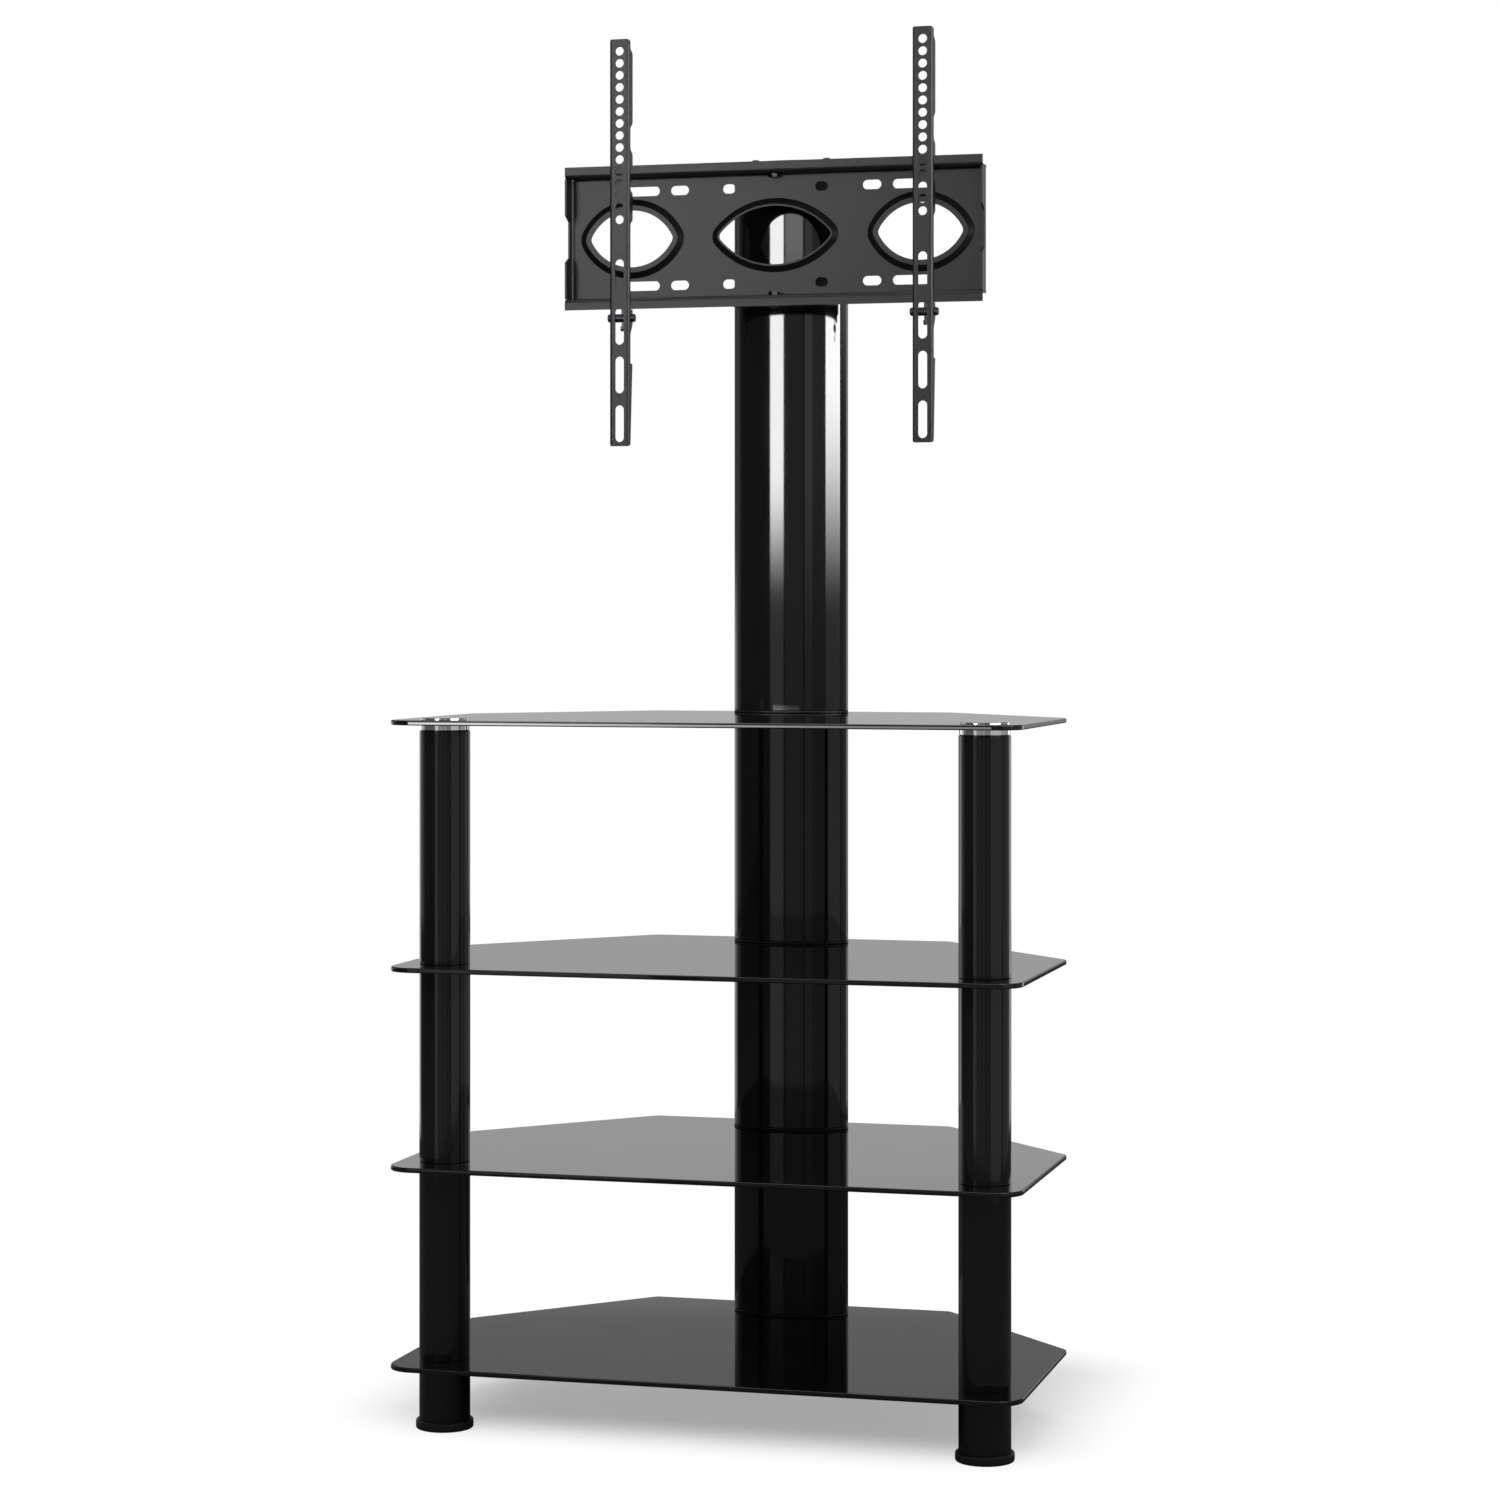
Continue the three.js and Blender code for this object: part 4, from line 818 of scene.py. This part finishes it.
def swivel_arm(level):
    """An arm from its CAD node, with its flat faces made whole and its sharp edges eased."""
    node = f"swivel_arm_{level}"
    bm = bmesh.new()
    bm.from_mesh(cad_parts[node].data)
    bmesh.ops.remove_doubles(bm, verts=bm.verts, dist=HAIR)
    bmesh.ops.dissolve_limit(bm, angle_limit=math.radians(ONE_FACE), verts=bm.verts, edges=bm.edges)
    sharp = [e for e in bm.edges
             if len(e.link_faces) == 2 and e.calc_face_angle() > math.radians(SHARP_EDGE)]
    ease(bm, sharp, ARM_EASE, ARM_EASE_STEPS, "EDGES")
    finished(bm, f"{node}_weldment", "stand", coat_finish, [node])


def hex_bar(radius, low, high):
    """A six-sided bar about the upright line."""
    bm = bmesh.new()
    bmesh.ops.create_circle(bm, cap_ends=True, segments=HEX_SIDES, radius=radius)
    bmesh.ops.translate(bm, verts=bm.verts, vec=(0, 0, low))
    raise_face(bm, bm.faces[:], (0, 0, high - low))
    return scratch(bm, "hexagon")


def placed(made, turn, place):
    """A working object as a bmesh, turned about x and moved to place."""
    bm = bmesh.new()
    take_in(bm, made)
    bmesh.ops.rotate(bm, verts=bm.verts, cent=(0, 0, 0), matrix=Matrix.Rotation(turn, 3, "X"))
    bmesh.ops.translate(bm, verts=bm.verts, vec=place)
    return bm


def button_bolt(radius, height, shank, length, socket):
    """A domed bolt that stands upright on its seat, with a six-sided socket in its head."""
    dome = [(radius * math.cos(t), BUTTON_LAND + (height - BUTTON_LAND) * math.sin(t))
            for t in quarter_turn(BUTTON_STEPS)]
    profile = [(0, -length), (shank - THREAD_EASE, -length), (shank, THREAD_EASE - length), (shank, 0),
               (radius, 0), *dome[:-1], (0, height)]
    blank = scratch(turned(profile, Vector(), SMALL_STEPS, False), "bolt")
    return carve(blank, [hex_bar(socket, height - SOCKET_DEPTH, height + OVERRUN)], "DIFFERENCE")


def hex_blank(height):
    """A six-sided head or nut on its seat, its corners chamfered at both ends."""
    cone = both_ends([(0, 0), (HEX_RADIUS - HEX_CHAMFER, 0), (HEX_RADIUS + HAIR, HEX_CHAMFER)], 0, height)
    trim = scratch(turned(cone, Vector(), SMALL_STEPS, False), "cone")
    return carve(hex_bar(HEX_RADIUS, -OVERRUN, height + OVERRUN), [trim], "INTERSECT")


def fastener(made, turn, place, node, name):
    """A bolt or nut of the swivel, or a screw of the cap, in its place."""
    finished(placed(made, turn, Vector(place)), name, "stand", oxide_finish, [node])


# Black oxide leaves fasteners near black, with an oily satin.
oxide_finish = clouded("black oxide steel", patch_mm=3, detail=2, rough=(0.25, 0.42),
                       settings={"Base Color": linear("#18181a"), "Metallic": 1})
# Natural nylon is milky and slightly waxy.
nylon_finish = clouded("natural nylon", patch_mm=2, detail=2, rough=(0.4, 0.55),
                       settings={"Base Color": linear("#d8d4c6"), "IOR": 1.53})
for level in ("upper", "lower"):
    swivel_arm(level)
    for side in SIDES:
        node = f"saddle_bolt_{level}_{side}"
        low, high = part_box(node)
        head = SADDLE_BUTTON[1]
        bolt = button_bolt(*SADDLE_BUTTON, high.y - low.y - head, SADDLE_SOCKET)
        seat = ((low.x + high.x) / 2, low.y + head, (low.z + high.z) / 2)
        fastener(bolt, math.pi / 2, seat, node, f"{node}_button")
    node = f"pivot_bolt_{level}"
    low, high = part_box(node)
    pivot = middle_of(node)
    shank = [(0, HEX_HIGH / 2), (PIVOT_RADIUS, HEX_HIGH / 2), (PIVOT_RADIUS, high.z - low.z - THREAD_EASE),
             (PIVOT_RADIUS - THREAD_EASE, high.z - low.z), (0, high.z - low.z)]
    stem = scratch(turned(shank, Vector(), SMALL_STEPS, False), "shank")
    bolt = carve(hex_blank(HEX_HIGH), [stem], "UNION")
    head_end, turn = (low.z, 0) if level == "upper" else (high.z, math.pi)
    fastener(bolt, turn, (pivot.x, pivot.y, head_end), node, f"{node}_hex")
    node = f"pivot_nut_{level}"
    low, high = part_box(node)
    bore = both_ends([(0, 0), (PIVOT_RADIUS + HAIR, 0)], -OVERRUN, HEX_HIGH + OVERRUN)
    drill = scratch(turned(bore, Vector(), SMALL_STEPS, False), "bore")
    nut = carve(hex_blank(high.z - low.z), [drill], "DIFFERENCE")
    fastener(nut, 0, (pivot.x, pivot.y, low.z), node, f"{node}_hex")
    node = f"pivot_washer_{level}"
    low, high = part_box(node)
    outer = (high.y - low.y) / 2
    rim = [(PIVOT_RADIUS + WASHER_PLAY, 0), (outer - WASHER_EASE, 0), (outer, WASHER_EASE)]
    ring = turned(both_ends(rim, low.z, high.z), Vector((pivot.x, pivot.y, 0)), TUBE_STEPS, True)
    finished(ring, f"{node}_ring", "stand", nylon_finish, [node])
for side in SIDES:
    node = f"pillar_cap_screw_{side}"
    low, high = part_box(node)
    screw = button_bolt(CAP_BUTTON_RADIUS, high.z - cap_top, CAP_SHANK_RADIUS, cap_top - low.z, CAP_SOCKET)
    seat = ((low.x + high.x) / 2, (low.y + high.y) / 2, cap_top)
    fastener(screw, 0, seat, node, f"{node}_button")

# Inside the tubes, tie rods and nuts of zinc plated steel clamp the stack. They keep their CAD shape,
# as nothing but their ends could ever be seen.
for name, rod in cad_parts.items():
    if "tie_rod" in name or "rod_nut" in name:
        rod.data.materials.clear()
        rod.data.materials.append(zinc_finish)

# Camera: level, where the photograph was taken from, its frame shifted down to the stand as a
# view camera's is. Its numbers were solved from the photograph.
CAMERA_PLACE = (966.9 * MM, -3572.6 * MM, 813.1 * MM)
CAMERA_TURN = 15.155
PHOTO_FOCAL_PX = 3625.7
PHOTO_SIZE_PX = 1500
HORIZON_PX = 613.3
SENSOR_MM = 36
FARTHEST_SEEN = 50

camera_data = bpy.data.cameras.new("camera")
camera_data.sensor_width = SENSOR_MM
camera_data.lens = SENSOR_MM * PHOTO_FOCAL_PX / PHOTO_SIZE_PX
camera_data.shift_y = (HORIZON_PX - PHOTO_SIZE_PX / 2) / PHOTO_SIZE_PX
camera_data.clip_end = FARTHEST_SEEN
camera = bpy.data.objects.new("camera", camera_data)
camera.location = CAMERA_PLACE
camera.rotation_euler = (math.pi / 2, 0, math.radians(CAMERA_TURN))
bpy.context.scene.collection.objects.link(camera)
bpy.context.scene.camera = camera
bpy.context.scene.view_settings.view_transform = "Standard"

# Lamps: three square soft boxes that light the matte faces, in front to the left and right, and
# above. Only the one above shows in gloss.
OBJECT_MIDDLE = Vector((0, 0, 0.75))
LAMPS = {
    "key": {"place": (-2.2, -2.6, 2.6), "side": 1.6, "power": 60, "in_gloss": False},
    "fill": {"place": (2.6, -2.2, 1.9), "side": 1.8, "power": 40, "in_gloss": False},
    "top": {"place": (0, 0, 3.2), "side": 2.4, "power": 60, "in_gloss": True},
}
for lamp_name, row in LAMPS.items():
    data = bpy.data.lights.new(lamp_name, "AREA")
    data.size = row["side"]
    data.energy = row["power"]
    lamp = bpy.data.objects.new(lamp_name, data)
    lamp.location = row["place"]
    lamp.rotation_euler = (OBJECT_MIDDLE - Vector(row["place"])).to_track_quat("-Z", "Y").to_euler()
    lamp.visible_glossy = row["in_gloss"]
    bpy.context.scene.collection.objects.link(lamp)

# Surroundings: white to the eye and through glass, a soft grey as light on matte faces, and in
# gloss a backdrop behind the stand, brightest a little above the horizon, and a dark room in front.
WHITE = (1, 1, 1, 1)
# The upward share of a direction, and how bright the backdrop looks there.
BACKDROP_GLOSS = [(0.01, 0.46), (0.09, 0.54), (0.15, 0.69), (0.175, 0.6), (0.19, 0.31)]
FRONT_GLOSS = 0.1
BACKDROP_BLEND = 0.15
SOFT_LIGHT = 0.45
world = bpy.data.worlds.new("surroundings")
bpy.context.scene.world = world
world.use_nodes = True
tree = world.node_tree
tree.nodes.clear()
ray = add_node(tree, "ShaderNodeLightPath", {}, {})
look = add_node(tree, "ShaderNodeTexCoord", {}, {})
axes = add_node(tree, "ShaderNodeSeparateXYZ", {}, {"Vector": look.outputs["Generated"]})
height = add_node(tree, "ShaderNodeValToRGB", {}, {"Fac": axes.outputs["Z"]})
stops = height.color_ramp.elements
for upward, level in BACKDROP_GLOSS:
    stops.new(upward).color = (level, level, level, 1)
# The two stops that a new ramp has are the first and the last.
for spare in (stops[-1], stops[0]):
    stops.remove(spare)
behind = add_node(tree, "ShaderNodeMapRange", {"From Min": -BACKDROP_BLEND, "From Max": BACKDROP_BLEND},
                  {"Value": axes.outputs["Y"]})
room = add_node(tree, "ShaderNodeMix", {"data_type": "RGBA"},
                {"Factor": behind.outputs["Result"], 7: height.outputs["Color"]})
room.inputs[6].default_value = (FRONT_GLOSS, FRONT_GLOSS, FRONT_GLOSS, 1)
soft = add_node(tree, "ShaderNodeBackground", {"Color": WHITE, "Strength": SOFT_LIGHT}, {})
mirror = add_node(tree, "ShaderNodeBackground", {"Strength": 1}, {"Color": room.outputs[2]})
white = add_node(tree, "ShaderNodeBackground", {"Color": WHITE, "Strength": 1}, {})
glossy_mix = add_node(tree, "ShaderNodeMixShader", {}, {0: ray.outputs["Is Glossy Ray"], 1: soft.outputs[0],
                                                        2: mirror.outputs[0]})
seen = add_node(tree, "ShaderNodeMath", {"operation": "MAXIMUM"},
                {0: ray.outputs["Is Camera Ray"], 1: ray.outputs["Is Transmission Ray"]})
camera_mix = add_node(tree, "ShaderNodeMixShader", {}, {0: seen.outputs[0], 1: glossy_mix.outputs[0],
                                                        2: white.outputs[0]})
add_node(tree, "ShaderNodeOutputWorld", {}, {"Surface": camera_mix.outputs[0]})

# Reflection cards: upright soft panels round the stand that only glossy surfaces see, as a studio
# has. The grid of a soft box lies over each one: it passes level light and little of what leaves it
# steeply downwards, so that the glass doesn't burn out when it is seen from behind and above.
CARD_DISTANCE = 2.2
CARD_TOP = 1.9
# The grid goes by the way that light leaves the card, not by the camera. Its values are the downward
# share of a direction where it is still open and where it is shut, and its leak.
GRID_OPEN = 0.16
GRID_SHUT = 0.22
GRID_LEAK = 0.033
# First and last compass angle seen from the pillar, 0 in front and positive to the right, then the
# heights where the fade begins and ends, and the strength below and above it.
CARDS = {
    "left_softbox": (-29, -15, 0.83, 1.06, 0.6, 24),
    "right_softbox": (37, 80, 0.815, 1.205, 0.5, 26.5),
    "middle_card": (-13, 5, 1.31, 1.42, 0.28, 3.6),
    "bright_card": (7, 16.5, 0.7, 1.1, 0.3, 0.85),
    "dim_card": (17, 36, 0.7, 1.2, 0.2, 0.4),
    "far_right_card": (84, 127, 1.1, 1.5, 0.32, 1.6),
    "rear_right_strip": (131, 156, 0.3, 0.8, 1.4, 1.6),
    "rear_left_card": (-148, -105, 0.75, 0.95, 1.1, 0.25),
}
# The low card for the front edge of the top glass fades from left to right, so its row has places
# along x instead of heights. The cards behind it show through.
EDGE_CARD = (-27, 3, -0.95, -0.2, 17, 4.5)
EDGE_CARD_TOP = 0.75


def reflection_card(name, start, end, low, high, strength_low, strength_high, top=CARD_TOP, along="Z",
                    see_through=False):
    middle = middle_of("pillar_pole")
    corners = []
    for angle in (math.radians(start), math.radians(end)):
        away = Vector((math.sin(angle), -math.cos(angle), 0)) * CARD_DISTANCE
        corners.append(Vector((middle.x, middle.y, 0)) + away)
    bm = bmesh.new()
    foot = bm.edges.new([bm.verts.new(corner) for corner in corners])
    move_end(bm, bmesh.ops.extrude_edge_only(bm, edges=[foot]), (0, 0, top))
    card = as_object(bm, name)
    card_material, tree = new_material(name)
    card.data.materials.append(card_material)
    place = add_node(tree, "ShaderNodeTexCoord", {}, {})
    spot = add_node(tree, "ShaderNodeSeparateXYZ", {}, {"Vector": place.outputs["Object"]})
    fade = add_node(tree, "ShaderNodeMapRange", {
        "interpolation_type": "SMOOTHSTEP", "From Min": low, "From Max": high, "To Min": strength_low,
        "To Max": strength_high}, {"Value": spot.outputs[along]})
    leaving = add_node(tree, "ShaderNodeNewGeometry", {}, {})
    drop = add_node(tree, "ShaderNodeSeparateXYZ", {}, {"Vector": leaving.outputs["Incoming"]})
    grid = add_node(tree, "ShaderNodeMapRange", {
        "From Min": -GRID_SHUT, "From Max": -GRID_OPEN, "To Min": GRID_LEAK, "To Max": 1},
        {"Value": drop.outputs["Z"]})
    power = add_node(tree, "ShaderNodeMath", {"operation": "MULTIPLY"},
                     {0: fade.outputs["Result"], 1: grid.outputs["Result"]})
    glow = add_node(tree, "ShaderNodeEmission", {"Color": WHITE}, {"Strength": power.outputs[0]})
    if see_through:
        clear = add_node(tree, "ShaderNodeBsdfTransparent", {}, {})
        glow = add_node(tree, "ShaderNodeAddShader", {}, {0: glow.outputs[0], 1: clear.outputs[0]})
    close_shader(tree, glow)
    card.visible_camera = False
    card.visible_diffuse = False
    card.visible_shadow = False
    return card


for card_name, row in CARDS.items():
    reflection_card(card_name, *row)
edge_card = reflection_card("edge_card", *EDGE_CARD, top=EDGE_CARD_TOP, along="X", see_through=True)
top_glass = bpy.data.collections.new("top glass")
top_glass.objects.link(bpy.data.objects["shelf_top_pane"])
edge_card.light_linking.receiver_collection = top_glass

# Floor: pale and plain. It glows white to the eye. Under the bottom shelf it keeps the real soft shadow and
# adds a painted shadow: its glow drops in a region that lies round a middle, reaches so far each way, and
# fades out over a short distance. In gloss it is a darker grey.
FLOOR_HALF = 6
SHADOW_MIDDLE = (-0.02, 0.09, 0)
SHADOW_REACH = (0.25, 0.15, 1)
SHADOW_FADE = 0.17
FLOOR_LIFT = 0.37
floor_bm = bmesh.new()
bmesh.ops.create_grid(floor_bm, x_segments=1, y_segments=1, size=FLOOR_HALF)
floor = as_object(floor_bm, "floor")
floor_material, tree = new_material("pale studio floor")
floor.data.materials.append(floor_material)
ray = add_node(tree, "ShaderNodeLightPath", {}, {})
place = add_node(tree, "ShaderNodeTexCoord", {}, {})
step = place.outputs["Object"]
for operation, value in (("SUBTRACT", SHADOW_MIDDLE), ("ABSOLUTE", None), ("SUBTRACT", SHADOW_REACH),
                         ("MAXIMUM", (0, 0, 0)), ("LENGTH", None)):
    away = add_node(tree, "ShaderNodeVectorMath", {"operation": operation}, {0: step})
    if value:
        away.inputs[1].default_value = value
    step = away.outputs[0]
# Near that region the glow falls to the lift: a painted shadow laid over the real one.
fade = add_node(tree, "ShaderNodeMapRange", {
    "interpolation_type": "SMOOTHSTEP", "From Max": SHADOW_FADE, "To Min": FLOOR_LIFT, "To Max": 1},
    {"Value": away.outputs["Value"]})
lift = add_node(tree, "ShaderNodeMath", {"operation": "MULTIPLY"},
                {0: ray.outputs["Is Camera Ray"], 1: fade.outputs["Result"]})
lit = add_node(tree, "ShaderNodeBsdfDiffuse", {"Color": linear("#c8c8c8")}, {})
mirrored = add_node(tree, "ShaderNodeBsdfDiffuse", {"Color": linear("#5a5a5a")}, {})
ground = add_node(tree, "ShaderNodeMixShader", {}, {0: ray.outputs["Is Glossy Ray"], 1: lit.outputs[0],
                                                    2: mirrored.outputs[0]})
glow = add_node(tree, "ShaderNodeEmission", {"Color": WHITE, "Strength": 1}, {})
floor_mix = add_node(tree, "ShaderNodeMixShader", {}, {0: lift.outputs[0], 1: ground.outputs[0],
                                                       2: glow.outputs[0]})
close_shader(tree, floor_mix)
